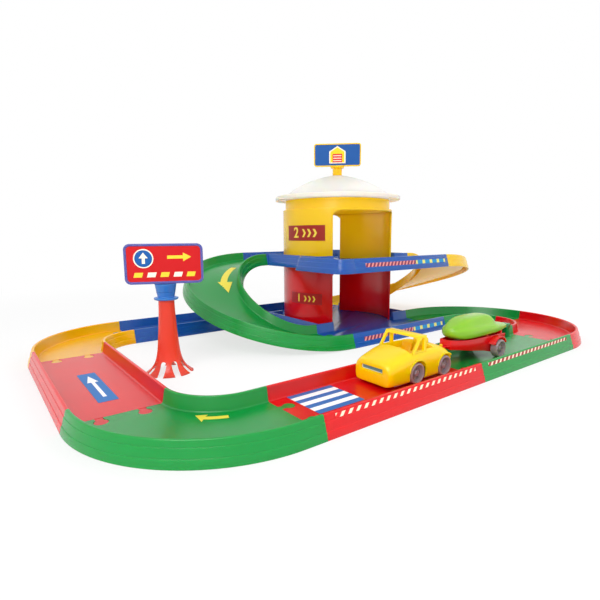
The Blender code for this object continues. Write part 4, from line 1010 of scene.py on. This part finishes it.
def gableOutline(middle, half, foot, eaves, peak):
    return [(-half, middle + foot), (half, middle + foot), (half, middle + eaves), (0, middle + peak),
            (-half, middle + eaves)]


def buildRoofSign(foot):
    size, frameSize = roof["plate"], roof["frame"]
    middle = size[1] / 2
    plate = settle(framedPlate("roofPlate", size, *frameSize), foot, (0, 0, roof["turn"]))
    present(plate, "roof_sign", plastic["yellow"], ["roof_sign_plate"])
    blueInk = printedFilm("blueInk", "#00509B")
    yellowInk = printedFilm("yellowInk", "#F7D21E")
    creamInk = printedFilm("creamInk", "#FBEFD8")
    redInk = printedFilm("redInk", "#D8202A")
    half, low, high = garageMark["shutter"]
    shutter = rounded(oblong(-half, middle + low, half, middle + high))
    marks = [
        ("gable", gableOutline(middle, *garageMark["gable"]), 1, creamInk),
        ("wall", gableOutline(middle, *garageMark["wall"]), 2, yellowInk),
        ("shutter", shutter, 3, redInk),
    ]
    half, low, tall = garageMark["slat"]
    for row in range(garageMark["slats"]):
        z = middle + low + garageMark["slatSpacing"] * row
        marks.append(("slat%d" % row, rounded(oblong(-half, z, half, z + tall)), 4, creamInk))
    printPlate("roofFilm", "roof_sign", (size, frameSize), foot, roof["turn"], blueInk, marks)


roofFoot = buildRoof()
buildRoofSign(roofFoot)
print("roof made")


# Road sign: a post with an arched bell foot, a socket and a board

sign = {
    "place": (-38.0, 302.0),
    "turn": radians(-21.8),
    "foot": 33.0,
    "post": 10.8,
    "cone": (8.2, 1.6),     # how much the post widens to its foot, and how soon
    "bell": 11.0,           # how low the bell of the foot begins
    "height": 103.4,
    "levels": 18,           # rings down the post, closer towards the foot by a power
    "levelPower": 1.5,
    "wall": 2.4,
    "footSkin": 1.4,
    "shoulder": 0.8,
    "peg": (8.0, 2.2),
    "pegRound": 0.5,
    "pegPlay": 0.4,
    "arches": 8,
    "archHalf": 4.4,
    "archCrown": 14.0,
    "archBelow": 3.0,
    "archReach": 50.0,
    "flange": (15.4, 16.5),            # the socket's flange: radius at its foot and its edge
    "flangeLevels": (1.2, 3.0, 4.2),   # its edge from and to, and its top
    "socketTop": 114.6,
    "neck": (11.2, 14.6),
    "neckHeight": 11.0,
    "neckRound": 0.4,
    "board": (104.0, 55.0, 8.0),
    "frame": (8.0, 3.0, 0.8),          # corner, rim and recess of the board
}
boardMarks = {
    # about the middle of the board
    "disc": (-27.0, 7.5, 13.0, 1.6),   # place, radius, ring
    "discArrow": (-7.0, 15.0, 4.0, 12.0, 7.5),  # start, length, shaft, head, head's length
    "arrow": (4.0, 9.0, 32.0, 4.4, 12.0, 11.0),  # place, length, shaft, head, head's length
    "dashes": 5,
    "dash": (-41.0, -18.0, 11.0, 6.5, 2.0),  # place of the first, width, height, lean
    "dashSpacing": 17.4,
}


def buildSignPost(centre):
    height, wall, waist = sign["height"], sign["wall"], sign["post"]

    def flare(z):
        # radius of the post at a height
        low = 1 - z / height
        cone, power = sign["cone"]
        bell = sign["foot"] - waist - cone
        return waist + cone * low ** power + bell * low ** sign["bell"]

    count = sign["levels"]
    levels = [height * (k / count) ** sign["levelPower"] for k in range(count)]
    peg, pegLength = sign["peg"]
    ease, shoulder = sign["pegRound"], sign["shoulder"]
    peak = height + pegLength
    outside = [(flare(z), z) for z in levels] + [(waist, height - shoulder), (waist - shoulder, height)]
    outside += [(peg, height), (peg, peak - ease), (peg - ease, peak), (0.0, peak)]
    inside = [(0.0, peak - wall), (peg - wall, peak - wall), (peg - wall, height - wall)]
    inside += [(flare(z) - wall, z) for z in reversed(levels[1:])]
    inside.append((sign["foot"] - sign["footSkin"] * wall, 0.0))
    post = turned("signPost", scaled(outside + inside), centre, 96)

    # arches go through the foot from side to side
    half, crown, reach = sign["archHalf"], sign["archCrown"], sign["archReach"]
    outline = [(-half, -sign["archBelow"]), (half, -sign["archBelow"])] + arc((0, crown), half, 0, pi, 12)
    arch = cutOut("arch", scaled([(x, -reach, z) for x, z in outline]), (0, 2 * reach * mm, 0))
    pairs = sign["arches"] // 2
    tools = []
    for k in range(pairs):
        there = Matrix.Translation(centre) @ Matrix.Rotation(pi * k / pairs, 4, "Z")
        tools.append(copyOf(arch, "archTool", there))
    bpy.data.objects.remove(arch)
    carve(post, *tools)
    present(post, "layout", plastic["orange"], ["sign_post"])
    return peak


def buildSocket(centre, peak):
    # the socket turns on the peg, and a short neck joins it to the board
    base, top = sign["height"] + road["seam"], sign["socketTop"]
    play = sign["pegPlay"]
    bore, roofOver = sign["peg"][0] + play, peak + play
    narrow, wide = sign["neck"]
    middle = narrow + (wide - narrow) * (top - base) / (top - base + sign["neckHeight"])
    flangeFoot, flangeEdge = sign["flange"]
    edgeFrom, edgeTo, flangeTop = [base + level for level in sign["flangeLevels"]]
    profile = rounded([
        (0.0, roofOver, 0), (bore, roofOver, 0), (bore, base, 0), (flangeFoot, base, 0.5),
        (flangeEdge, edgeFrom, 0.6), (flangeEdge, edgeTo, 0.6), (narrow + 0.2, flangeTop, 1.0),
        (middle, top, 0.1), (0.0, top, 0)], 4)
    socket = turned("signSocket", scaled(profile), centre, 64)
    present(socket, "road_sign_head", plastic["sky"], ["sign_socket"])

    low, high = top + road["seam"], top + sign["neckHeight"]
    ease = sign["neckRound"]
    profile = [(0.0, low), (middle, low), (wide, high - ease), (wide - ease, high), (0.0, high)]
    neck = turned("boardNeck", scaled(profile), centre, 48)
    present(neck, "road_sign_head", plastic["sky"])
    return high + road["seam"]


def buildBoard(foot):
    size, frameSize = sign["board"], sign["frame"]
    middle = size[1] / 2
    board = settle(framedPlate("signBoard", size, *frameSize), foot, (0, 0, sign["turn"]))
    present(board, "road_sign_head", plastic["violet"], ["sign_board"])
    redInk = printedFilm("boardRedInk", "#CC0A12")
    blueInk = printedFilm("boardBlueInk", "#125BA6")
    yellowInk = printedFilm("boardYellowInk", "#F4D93A")
    creamInk = printedFilm("boardCreamInk", "#FBF3DF")
    discX, discZ, radius, ring = boardMarks["disc"]
    discZ += middle
    upright = arrowOutline(boardMarks["discArrow"][0], 0, *boardMarks["discArrow"][1:])
    x, z, *arrow = boardMarks["arrow"]
    marks = [
        ("disc", arc((discX, discZ), radius, 0, 2 * pi, 40)[:-1], 1, creamInk),
        ("discInk", arc((discX, discZ), radius - ring, 0, 2 * pi, 40)[:-1], 2, blueInk),
        ("discArrow", [(discX - b, discZ + a) for a, b in upright], 3, creamInk),
        ("boardArrow", arrowOutline(x, middle + z, *arrow), 1, yellowInk),
    ]
    first, low, width, tall, lean = boardMarks["dash"]
    low += middle
    for k in range(boardMarks["dashes"]):
        x = first + boardMarks["dashSpacing"] * k
        dash = [(x, low), (x + width, low), (x + width + lean, low + tall), (x + lean, low + tall)]
        marks.append(("boardDash%d" % k, dash, 1, creamInk if k % 2 else yellowInk))
    printPlate("boardFilm", "road_sign_head", (size, frameSize), foot, sign["turn"], redInk, marks)


def buildRoadSign():
    centre = spot(*sign["place"])
    peak = buildSignPost(centre)
    boardFoot = buildSocket(centre, peak)
    buildBoard(centre + Vector((0, 0, boardFoot * mm)))
    print("road sign made")


buildRoadSign()


# Toy car, nose towards -X

car = {
    "nose": 126.0,
    "length": 124.0,
    "half": 31.0,
    "y": 67.0,
    "frontAxle": 51.5,
    "wheelBase": 56.0,
    "wheelRadius": 13.5,
    "wheelWidth": 10.5,
    "track": 62.0,
    "axleZ": 20.8,
    "axleRadius": 1.5,
    "wheelPlay": 0.3,
    "wheelGap": 1.0,                  # between a wheel's inner face and the body
    "clearance": 4.0,
    "wall": 2.2,
    "stations": [
        # place along, share of the half width, rise of the sill, heights of belt and top, crown
        (0.0, 0.84, 1.4, 25.5, 28.6, 0.6), (1.2, 0.90, 0.4, 27.5, 31.0, 1.0),
        (5.0, 0.955, 0.0, 29.5, 33.4, 1.4), (15.0, 0.99, 0.0, 32.0, 36.6, 1.8),
        (27.0, 1.0, 0.0, 35.0, 40.6, 2.0), (38.0, 1.0, 0.0, 37.8, 43.6, 1.8),
        (56.0, 1.0, 0.0, 39.8, 44.9, 1.4), (80.0, 1.0, 0.0, 39.8, 44.4, 1.2),
        (98.0, 1.0, 0.0, 38.2, 42.2, 1.2), (111.0, 1.0, 0.6, 34.0, 38.0, 1.0),
        (120.0, 0.98, 1.6, 28.5, 32.5, 0.8), (124.0, 0.93, 3.0, 24.5, 28.0, 0.6)],
    "cavity": (10.0, 6.0, 20.0),      # how far behind the nose and before the tail, and its top
    "cavityBelow": 10.0,
    "well": (46.0, 83.0, 43.0, 84.0),     # ends of the cockpit at its floor and at its ledge
    "opening": (41.0, 86.0, 36.0, 88.0),  # ends of the opening at its ledge and above the car
    "openingTop": 80.0,
    "coaming": 3.0,
    "archGap": 2.6,
    "tailCut": 4.0,
    "cutBelow": 5.0,
    "cutPast": 16.0,
    "ease": 0.5,
    "grille": (18.0, 19.6, 25.8, 3.4),    # half width, foot, top, depth
    "cage": {"front": 42.0, "rear": 69.0, "foot": 37.0, "top": 60.0, "lean": 0.68, "bar": 3.2,
             "inset": 2.6, "sill": 4.0, "rearPillar": 1.5, "round": 4.0, "past": 5.0, "ease": 1.0},
    "lip": (2.0, 0.9, 1.2),               # width, height and root of the lips over the wheels
    "lipSweep": {"front": (12, 168), "rear": (52, 172)},
    "hump": {"x": 94.5, "foot": 41.0, "radius": 10.0, "shoulder": (9.6, 47.0), "top": (5.5, 50.5)},
}
trailer = {
    "half": 31.0,
    "axle": 374.0,
}
spoke = {
    "count": 8,
    "half": 0.45,
    "reach": (0.3, 0.74),   # from and to, as shares of the wheel's radius
    "depth": (0.3, 0.22),   # foot and height, as shares of the wheel's width
}
rearAxle = car["frontAxle"] + car["wheelBase"]
axleHeight = car["axleZ"] - road["floorTop"]   # over the road
pocket = car["track"] / 2 - car["wheelWidth"] - car["wheelGap"]


def wheelForm():
    # a dished wheel with a hub about an upright axis, inner face at zero
    r, w = car["wheelRadius"], car["wheelWidth"]
    bore = car["axleRadius"] + car["wheelPlay"]
    profile = rounded([
        (bore, 0.0, 0.2), (r * 0.45, 0.0, 0.3), (r * 0.5, 0.9, 0.3), (r * 0.78, 0.9, 0.3),
        (r * 0.84, 0.0, 0.4), (r, 0.0, 0.8), (r, w, 2.2), (r * 0.80, w, 0.6),
        (r * 0.70, w * 0.38, 1.0), (r * 0.34, w * 0.34, 0.8), (r * 0.27, w * 0.82, 0.6),
        (bore, w * 0.82, 0.3)], 4)
    wheel = turned("wheelForm", scaled(profile), (0, 0), 64)
    # shallow spokes stiffen the dish
    start, end = [share * r for share in spoke["reach"]]
    foot, height = [share * w for share in spoke["depth"]]
    plan = oblong(start, -spoke["half"], end, spoke["half"])
    spokes = []
    for k in range(spoke["count"]):
        turn = Matrix.Rotation(2 * pi * k / spoke["count"], 3, "Z")
        points = [turn @ Vector((x, y, foot)) * mm for x, y, _ in plan]
        spokes.append(cutOut("spoke", points, (0, 0, height * mm)))
    return carve(wheel, *spokes, operation="UNION")


def buildWheels():
    form = wheelForm()
    carHalf, trailerHalf = car["track"] / 2, trailer["half"]
    axles = [
        ("car_front", "frontWheel", car["nose"] + car["frontAxle"], carHalf, "front_wheels"),
        ("car_rear", "rearWheel", car["nose"] + rearAxle, carHalf, "rear_wheels"),
        ("trailer", "trailerWheel", trailer["axle"], trailerHalf, "trailer_wheels"),
    ]
    for node, name, x, half, body in axles:
        for side, label in ((-1, "near"), (1, "far")):
            wheel = copyOf(form, name + label.title())
            place = spot(x, car["y"] + side * (half - car["wheelWidth"]), car["axleZ"])
            settle(wheel, place, (-side * pi / 2, 0, 0))
            present(wheel, body, plastic["mauve"], ["%s_wheel_%s" % (node, label)])
    for node in ("car_front_axle", "car_rear_axle", "trailer_axle"):
        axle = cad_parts[node]
        axle.data.materials.clear()
        axle.data.materials.append(plastic["steel"])
    bpy.data.objects.remove(form)
    print("wheels made")


buildWheels()


def carSpot(x, y, z):
    # millimetres behind the nose, to the far side and over the road
    return spot(car["nose"] + x, car["y"] + y, road["floorTop"] + z)


def skin(name, rings):
    # bridges a row of traced rings and caps both ends
    parts = []
    for ring in rings:
        parts.append(closeMesh(trace(name, ring)))
    takeUp(*parts)
    bpy.ops.object.join()
    item = bpy.context.object
    item.name = name
    bpy.ops.object.mode_set(mode="EDIT")
    bpy.ops.mesh.select_mode(type="VERT")
    for one, other in zip(rings, rings[1:]):
        first, second = Vector(one[0]).x, Vector(other[0]).x
        pick(item, lambda p: abs(p.x - first) < tiny or abs(p.x - second) < tiny)
        bpy.ops.mesh.bridge_edge_loops()
    for ring in (rings[0], rings[-1]):
        end = Vector(ring[0]).x
        pick(item, lambda p: abs(p.x - end) < tiny)
        bpy.ops.mesh.edge_face_add()
    closeMesh(item)
    return mend(item)


def bodyRing(x, share, lift, belt, top, crown):
    # one ring of the body, from under its middle up the far side and down the near one
    half, low = car["half"] * share, car["clearance"] + lift
    side = [
        (half * 0.5, low), (half - 3.0, low), (half - 0.6, low + 2.5), (half, low + 8.0),
        (half, (low + belt) / 2 + 3), (half - 0.3, belt - 5.0), (half - 2.0, belt - 1.0),
        (half - 7.0, top - 0.6), (half * 0.45, top + crown * 0.7)]
    points = [(0.0, low)] + side + [(0.0, top + crown)] + [(-y, z) for y, z in reversed(side)]
    return [carSpot(x, y, z) for y, z in points]


def across(name, outline, near, far):
    # a cutter with an outline seen from the side, from one place across the car to another
    return cutOut(name, [carSpot(x, near, z) for x, z in outline], (0, (far - near) * mm, 0))


def bodyTools():
    # what the body is hollowed, opened and notched with
    half = car["half"]
    edge = half - car["wall"]
    behind, before, cavity = car["cavity"]
    below = car["cavityBelow"]
    plan = oblong(behind, -edge, car["length"] - before, edge)
    tools = [cutOut("cavity", [carSpot(x, y, -below) for x, y, _ in plan], (0, 0, (cavity + below) * mm))]
    arch = car["wheelRadius"] + car["archGap"]
    ledge, floor = axleHeight + arch + car["wall"], cavity + car["wall"]
    front, rear, frontTop, rearTop = car["well"]
    well = rounded([(front, floor, 1.0), (rear, floor, 1.0), (rearTop, ledge + 1.0, 0),
                    (frontTop, ledge + 1.0, 0)], 3)
    front, rear, frontTop, rearTop = car["opening"]
    opening = rounded([(front, ledge, 1.5), (rear, ledge, 1.5), (rearTop, car["openingTop"], 0),
                       (frontTop, car["openingTop"], 0)], 3)
    for outline, wide in ((well, pocket - car["wall"]), (opening, edge - car["coaming"])):
        tools.append(across("cockpit", outline, -wide, wide))
    sides = ((-2 * half, -pocket), (pocket, 2 * half))
    for x in (car["frontAxle"], rearAxle):
        outline = arc((x, axleHeight), arch, 0, 2 * pi, 48)[:-1]
        for near, far in sides:
            tools.append(across("wheelArch", outline, near, far))
    # the rear arches are open to the tail, up to a little over the axle
    end = car["length"] + car["cutPast"]
    outline = rounded(oblong(rearAxle, -car["cutBelow"], end, axleHeight + car["tailCut"]))
    for near, far in sides:
        tools.append(across("tailCut", outline, near, far))
    # the grille is a shallow slot in the bow
    slotHalf, low, high, depth = car["grille"]
    tools.append(across("grilleSlot", rounded(oblong(-3.0, low, depth, high)), -slotHalf, slotHalf))
    return tools


def grillePart(name, depth, side, edge, thickness, material):
    # fills the grille's slot up to a margin at its sides and edges
    half, low, high, slotDepth = car["grille"]
    plan = oblong(side - half, low + edge, half - side, high - edge)
    points = [carSpot(slotDepth - depth, y, z) for y, z, _ in plan]
    present(cutOut(name, points, (thickness * mm, 0, 0)), "car", material)


def buildCar():
    body = skin("carBody", [bodyRing(*station) for station in car["stations"]])
    modify(body, "SUBSURF", levels=2)
    carve(body, *bodyTools())
    soften(body, car["ease"], radians(55), 2)
    present(body, "car", plastic["lemon"], ["car_body"], smooth=35)
    buildCage()
    buildLips()
    buildHump()
    grillePart("grilleRim", 0.4, 0.4, 0.4, 0.4, printedFilm("grilleRimInk", "#D9DFDC"))
    grillePart("grilleFilm", 0.6, 1.8, 1.3, 0.2, printedFilm("grilleInk", "#5E8C97"))
    print("car made")


def buildCage():
    # two side frames with a window each, joined by a thin roof
    cage = car["cage"]
    half = car["half"] - cage["inset"]
    foot, top, bar, lean = cage["foot"], cage["top"], cage["bar"], cage["lean"]
    front, rear = cage["front"], cage["rear"]
    outline = [(front, foot), (front + lean * (top - foot), top), (rear, top), (rear, foot)]
    item = across("cage", outline, -half, half)
    pillar = front + bar * sqrt(1 + lean ** 2)   # where the window's front edge would meet the foot
    sill, lintel, back = foot + cage["sill"], top - bar, rear - cage["rearPillar"] * bar
    window = [(pillar + lean * (sill - foot), sill), (pillar + lean * (lintel - foot), lintel),
              (back, lintel), (back, sill)]
    past = cage["past"]
    inside = rounded(oblong(bar - half, foot - past, half - bar, lintel, 0, cage["round"]), 5)
    reach = rear - front + 2 * past
    carve(item, across("window", window, -2 * half, 2 * half),
          cutOut("inside", [carSpot(front - past, y, z) for y, z in inside], (reach * mm, 0, 0)))
    soften(item, cage["ease"], radians(30))
    present(item, "car", plastic["lemon"], smooth=40)


def buildLips():
    # raised half rings over the four wheels
    width, height, root = car["lip"]
    inner = car["wheelRadius"] + car["archGap"]
    foot, top = car["half"] - root, car["half"] + height
    profile = rounded(oblong(inner, foot, inner + width, top, 0, 0.5), 3)
    for name, x in (("front", car["frontAxle"]), ("rear", rearAxle)):
        start, end = car["lipSweep"][name]
        form = turned("lip", scaled(profile), (0, 0), 40, angle=radians(end - start))
        capEnds(form)
        for side, label in ((-1, "Near"), (1, "Far")):
            # laid on its side, the ring's first end points to the tail
            lip = copyOf(form, name + "Lip" + label)
            spin = radians(end if side < 0 else -start)
            lip.data.transform(Matrix.Rotation(-side * pi / 2, 4, "X") @ Matrix.Rotation(spin, 4, "Z"))
            settle(lip, carSpot(x, 0, axleHeight))
            present(lip, "car", plastic["lemon"], smooth=40)
        bpy.data.objects.remove(form)


def buildHump():
    # a round hump behind the cage
    hump = car["hump"]
    foot, radius, shoulder, top = hump["foot"], hump["radius"], hump["shoulder"], hump["top"]
    profile = rounded([
        (0.0, foot, 0), (radius, foot, 1.0), (*shoulder, 2.0), (*top, 3.0), (0.0, top[1], 0)], 5)
    raised = [(r, z + road["floorTop"]) for r, z in profile]
    item = turned("hump", scaled(raised), carSpot(hump["x"], 0, 0), 40, closed=False)
    present(item, "car", plastic["lemon"], smooth=40)


buildCar()

for node, name, body, colour, width in (
        ("car_chassis", "carChassis", "car", "mauve", 0.4),
        ("car_seats", "carSeats", "car", "yellow", 0.5),
        ("car_tow_hook", "towHook", "car", "yellow", 0.4),
        ("trailer_frame", "trailerFrame", "trailer", "red", 0.6),
        ("outboard_motor", "outboardMotor", "boat", "bottle", 0.7)):
    eased(node, name, body, colour, width)


# Boat, bow towards the car: a closed shell with a long cabin

boat = {
    "keel": 40.7,
    "skin": 1.4,
    "stations": [
        # place along, half width, foot over the keel, gunwale and cabin over the keel
        (279.2, 3.0, 9.0, 13.0, 15.5), (281.0, 8.0, 6.5, 15.0, 18.5), (287.0, 14.5, 3.2, 16.5, 21.5),
        (296.0, 20.0, 1.0, 17.5, 25.4), (306.0, 23.0, 0.2, 18.0, 30.0), (318.0, 24.3, 0.0, 18.0, 31.6),
        (345.0, 24.5, 0.0, 17.0, 31.7), (366.0, 24.2, 0.0, 15.8, 31.2), (375.0, 23.4, 0.0, 14.8, 28.0),
        (382.0, 22.3, 0.0, 13.8, 19.5), (396.0, 19.5, 0.2, 12.0, 14.6), (411.0, 15.5, 0.6, 10.0, 11.8),
        (421.0, 12.0, 1.0, 8.6, 10.0), (425.0, 10.5, 1.6, 8.0, 9.2)],
}


def buildBoat():
    rings = []
    for x, half, foot, side, top in boat["stations"]:
        hull, cabin = side - foot, top - side
        flank = [
            (half * 0.45, foot + 0.3), (half * 0.80, foot + 1.6), (half * 0.97, foot + hull * 0.35),
            (half, foot + hull * 0.75), (half * 0.93, side), (half * 0.74, side + cabin * 0.15),
            (half * 0.62, side + cabin * 0.7), (half * 0.46, top)]
        points = [(0.0, foot)] + flank + [(0.0, top + 0.3)] + [(-y, z) for y, z in reversed(flank)]
        rings.append([spot(x, car["y"] + y, boat["keel"] + z) for y, z in points])
    shell = skin("boatHull", rings)
    modify(shell, "SUBSURF", levels=2)
    modify(shell, "SOLIDIFY", thickness=boat["skin"] * mm, offset=-1)
    present(shell, "boat", plastic["lime"], ["boat_hull"], smooth=50)
    print("trailer and boat made")


buildBoat()


# Printed films on the roads, the decks and the tower

films = {
    "thickness": 0.15,
    "lift": 0.02,           # a film lies this far over its road
    "round": 1.0,
    "zebra": ((24.0, 41.5), (90.0, 102.0)),
    "zebraPair": 17.4,
    "arrowPlate": ((-152.0, 216.0), (-130.0, 338.0)),
    "arrow": (-141.0, 233.0, 92.0, 4.2, 13.0, 30.0),  # place, length, shaft, head, head's length
    "arrowThickness": 0.12,
    "strip": (9.2, 16.0),   # foot and top of the strips on the decks' walls
    "dashes": (17.6, 22.0),
    "wallThickness": 0.12,
    "wallLift": 0.2,        # how far a strip stands off its wall, next to its thickness
}
bentArrow = {
    # round the front left corner, in millimetres and degrees about the corner's middle
    "centre": (-26.0, 172.0),
    "radius": 83.0,
    "half": 3.4,
    "sweep": (-110, -127),
    "head": [(-8.0, -125.5), (-5.5, -135), (9.0, -127.5)],
}
rampArrow = {
    # down the green ramp, in millimetres and degrees about the ramp's middle
    "sweep": (117, 150),
    "steps": 11,
    "shaft": (109, 122),
    "lift": 0.06,
    "head": [(149, 127), (149, 99), (167, 110)],
    "headLift": 0.5,
}


def layFilm(name, low, high, material):
    # a flat film lying on a road; corners in millimetres from the front left seam
    z = road["floorTop"] + films["lift"]
    outline = rounded(oblong(*low, *high, films["round"]), 4)
    film = cutOut(name, [spot(x, y, z) for x, y in outline], (0, 0, films["thickness"] * mm))
    return present(film, "layout", material)


def layBentArrow(material):
    centre, radius, half = bentArrow["centre"], bentArrow["radius"], bentArrow["half"]
    start, end = [radians(angle) for angle in bentArrow["sweep"]]
    inner = arc(centre, radius - half, start, end, 12)
    outer = arc(centre, radius + half, start, end, 12)
    head = [arc(centre, radius + out, radians(angle), radians(angle), 1)[0]
            for out, angle in bentArrow["head"]]
    shape = inner + head + list(reversed(outer))
    z = road["floorTop"] + films["lift"]
    mark = cutOut("bentArrow", [spot(x, y, z) for x, y in shape], (0, 0, films["thickness"] * mm))
    present(mark, "layout", material)


def layRampArrow(material):
    centre = spot(deckLeft - road["rampLead"], (deckFront + deckBack) / 2)
    middle = (deckDepth - road["width"]) / 2
    wayLength = pi * middle + 2 * road["rampLead"]

    def onRamp(degrees, radius, over=rampArrow["lift"]):
        # a place on the climbing road
        way = road["rampLead"] + middle * radians((-90 - degrees) % 360)
        height = road["floorTop"] + rampClimb(way / wayLength) + over
        angle = radians(degrees)
        return centre + Vector((cos(angle) * radius, sin(angle) * radius, height)) * mm

    start, end = rampArrow["sweep"]
    steps = rampArrow["steps"]
    step = (end - start) / steps
    shaft = trace("rampArrow", [onRamp(start, radius) for radius in rampArrow["shaft"]], False)
    for k in range(steps):
        bpy.ops.mesh.spin(steps=1, angle=-radians(step), center=centre, axis=(0, 0, 1))
        climb = onRamp(start + step * (k + 1), 1).z - onRamp(start + step * k, 1).z
        bpy.ops.transform.translate(value=(0, 0, climb))
    closeMesh(shaft)
    corners = [onRamp(degrees, radius, rampArrow["headLift"]) for degrees, radius in rampArrow["head"]]
    head = trace("rampArrowHead", corners)
    bpy.ops.mesh.edge_face_add()
    closeMesh(head)
    for part in (shaft, head):
        modify(part, "SOLIDIFY", thickness=films["thickness"] * mm, offset=0)
        present(mend(part), "layout", material)


def buildRoadFilms():
    low, high = films["zebra"]
    stripes = ("Y", films["zebraPair"], 0.5, 0.0, "X")
    layFilm("zebraFilm", low, high, printedFilm("zebraInk", "#FFFFFF", "#2C6CB3", stripes, spot(*low)))
    blueInk = printedFilm("arrowBlueInk", "#1B6FBA")
    whiteInk = printedFilm("arrowWhiteInk", "#FFFFFF")
    yellowInk = printedFilm("roadYellowInk", "#F2E04A")
    layFilm("arrowFilm", *films["arrowPlate"], blueInk)
    x, y, *arrow = films["arrow"]
    z = road["floorTop"] + films["lift"] + films["thickness"]
    shape = [spot(x - b, y + a, z) for a, b in arrowOutline(0, 0, *arrow)]
    mark = cutOut("roadArrow", shape, (0, 0, films["arrowThickness"] * mm))
    present(mark, "layout", whiteInk)
    layBentArrow(yellowInk)
    layRampArrow(yellowInk)


buildRoadFilms()


def wallFilm(name, place, length, levels, material):
    # a strip on the sloping outer face of a wall along the front, between two heights
    step = road["mouldingStep"]
    slope = (road["wallLean"] - 2 * step) / road["wallHeight"]
    thickness = films["wallThickness"]
    corners = []
    for x, z, _ in oblong(0, levels[0], length, levels[1]):
        steps = (z > road["mouldings"][0]) + (z > road["mouldings"][1])
        face = slope * z + step * steps
        corners.append(place + Vector((x, face - films["wallLift"] * thickness, z)) * mm)
    film = cutOut(name, corners, (0, -thickness * mm, 0))
    present(film, "layout", material)


def buildWallFilms():
    # slanted dashes run along the front
    stripes = ("X", 11.0, 0.42, -0.9, "Z")
    for name, start, length, ground in (
            ("redDashes", 14, 240, "#E3161C"), ("greenDashes", 285, 237, "#A01E22")):
        place = spot(start, 0)
        material = printedFilm(name + "Ink", ground, "#FBE9CC", stripes, place)
        wallFilm(name, place, length, films["dashes"], material)
    # and a striped and a chequered strip along the front wall of each deck
    stripes, squares = ("X", 9.0, 0.45, -0.6, "Z"), ("X", 22.0, 0.35, 0.0, "Z")
    seam = spot(deckLeft, deckFront)
    for name, height in (("baseStrip", 0.0), ("upperStrip", road["storey"])):
        material = printedFilm(name + "Ink", "#7A2352", "#F09A94", stripes, seam)
        start = spot(deckLeft + 24, deckFront, height)
        wallFilm(name, start, 132, films["strip"], material)
        material = printedFilm(name + "CyanInk", "#1F8FCB", "#E9E07A", squares, seam)
        start = spot(deckLeft + 157, deckFront, height)
        wallFilm(name + "Cyan", start, 90, films["strip"], material)


buildWallFilms()


levelMarks = {
    "upper": (180, 210, radians(170), radians(217)),  # foot, top, from, to
    "lower": (55, 77, radians(176), radians(214)),
    "gap": 0.05,          # between the film and the shell
    "thickness": 0.25,
    "steps": 32,
    "digitAt": 0.30,      # shares of the way along the plate
    "digitTall": 0.95,
    "digitBold": 0.6,
    "digitDepth": 0.25,
    "digitOut": 0.35,
    "chevrons": 3,
    "chevronAt": 0.52,
    "chevronStep": 0.13,
    "chevronTall": 0.26,
    "chevronPoint": 0.6,  # how far a chevron's point reaches next to half its height
    "chevronDepth": 0.3,
    "chevronOut": 0.25,
}


def levelPlate(number, low, high, start, end, material, digitInk):
    # a film round the tower with its level's number and chevrons that point on to the ramp
    centre = spot(towerX, towerY)
    radius, tall, sweep = tower["radius"], high - low, end - start

    def onTower(share, out):
        # an angle and a place on the shell, halfway up the plate
        angle = start + sweep * share
        return angle, centre + Vector((cos(angle) * (radius + out), sin(angle) * (radius + out),
                                       (low + high) / 2)) * mm

    edge = radius + levelMarks["gap"]
    item = trace("levelFilm%d" % number, [centre + Vector((edge, 0, z)) * mm for z in (low, high)], False)
    bpy.ops.mesh.spin(steps=levelMarks["steps"], angle=-sweep, center=centre, axis=(0, 0, 1))
    closeMesh(item)
    modify(item, "SOLIDIFY", thickness=levelMarks["thickness"] * mm, offset=1)
    mend(item)
    turn = Matrix.Rotation(start, 4, "Z")
    item.data.transform(Matrix.Translation(centre) @ turn @ Matrix.Translation(-centre))
    present(item, "layout", material)

    bpy.ops.object.text_add()
    text = bpy.context.object
    text.data.body = str(number)
    text.data.size = tall * levelMarks["digitTall"] * mm
    text.data.align_x = "CENTER"
    text.data.align_y = "CENTER"
    text.data.extrude = levelMarks["digitDepth"] * mm
    text.data.offset = levelMarks["digitBold"] * mm
    bpy.ops.object.convert(target="MESH")
    digit = bpy.context.object
    digit.name = "levelDigit%d" % number
    angle, place = onTower(levelMarks["digitAt"], levelMarks["digitOut"])
    settle(digit, place, (pi / 2, 0, angle + pi / 2))
    mend(digit)
    present(digit, "layout", digitInk)

    half = tall * levelMarks["chevronTall"]
    reach = half * levelMarks["chevronPoint"]
    outline = [(-reach, -half), (0, -half), (reach, 0), (0, half), (-reach, half), (0, 0)]
    for k in range(levelMarks["chevrons"]):
        mark = cutOut("chevron%d%d" % (number, k), scaled([(x, 0, z) for x, z in outline]),
                      (0, -levelMarks["chevronDepth"] * mm, 0))
        share = levelMarks["chevronAt"] + levelMarks["chevronStep"] * k
        angle, place = onTower(share, levelMarks["chevronOut"])
        settle(mark, place, (0, 0, angle + pi / 2))
        present(mark, "layout", digitInk)


def buildLevelPlates():
    darkInk = printedFilm("levelDarkInk", "#9C2318")
    redInk = printedFilm("levelRedInk", "#A81518")
    yellowInk = printedFilm("levelYellowInk", "#F6D850")
    levelPlate(2, *levelMarks["upper"], darkInk, yellowInk)
    levelPlate(1, *levelMarks["lower"], redInk, yellowInk)
    print("printed films laid")


buildLevelPlates()
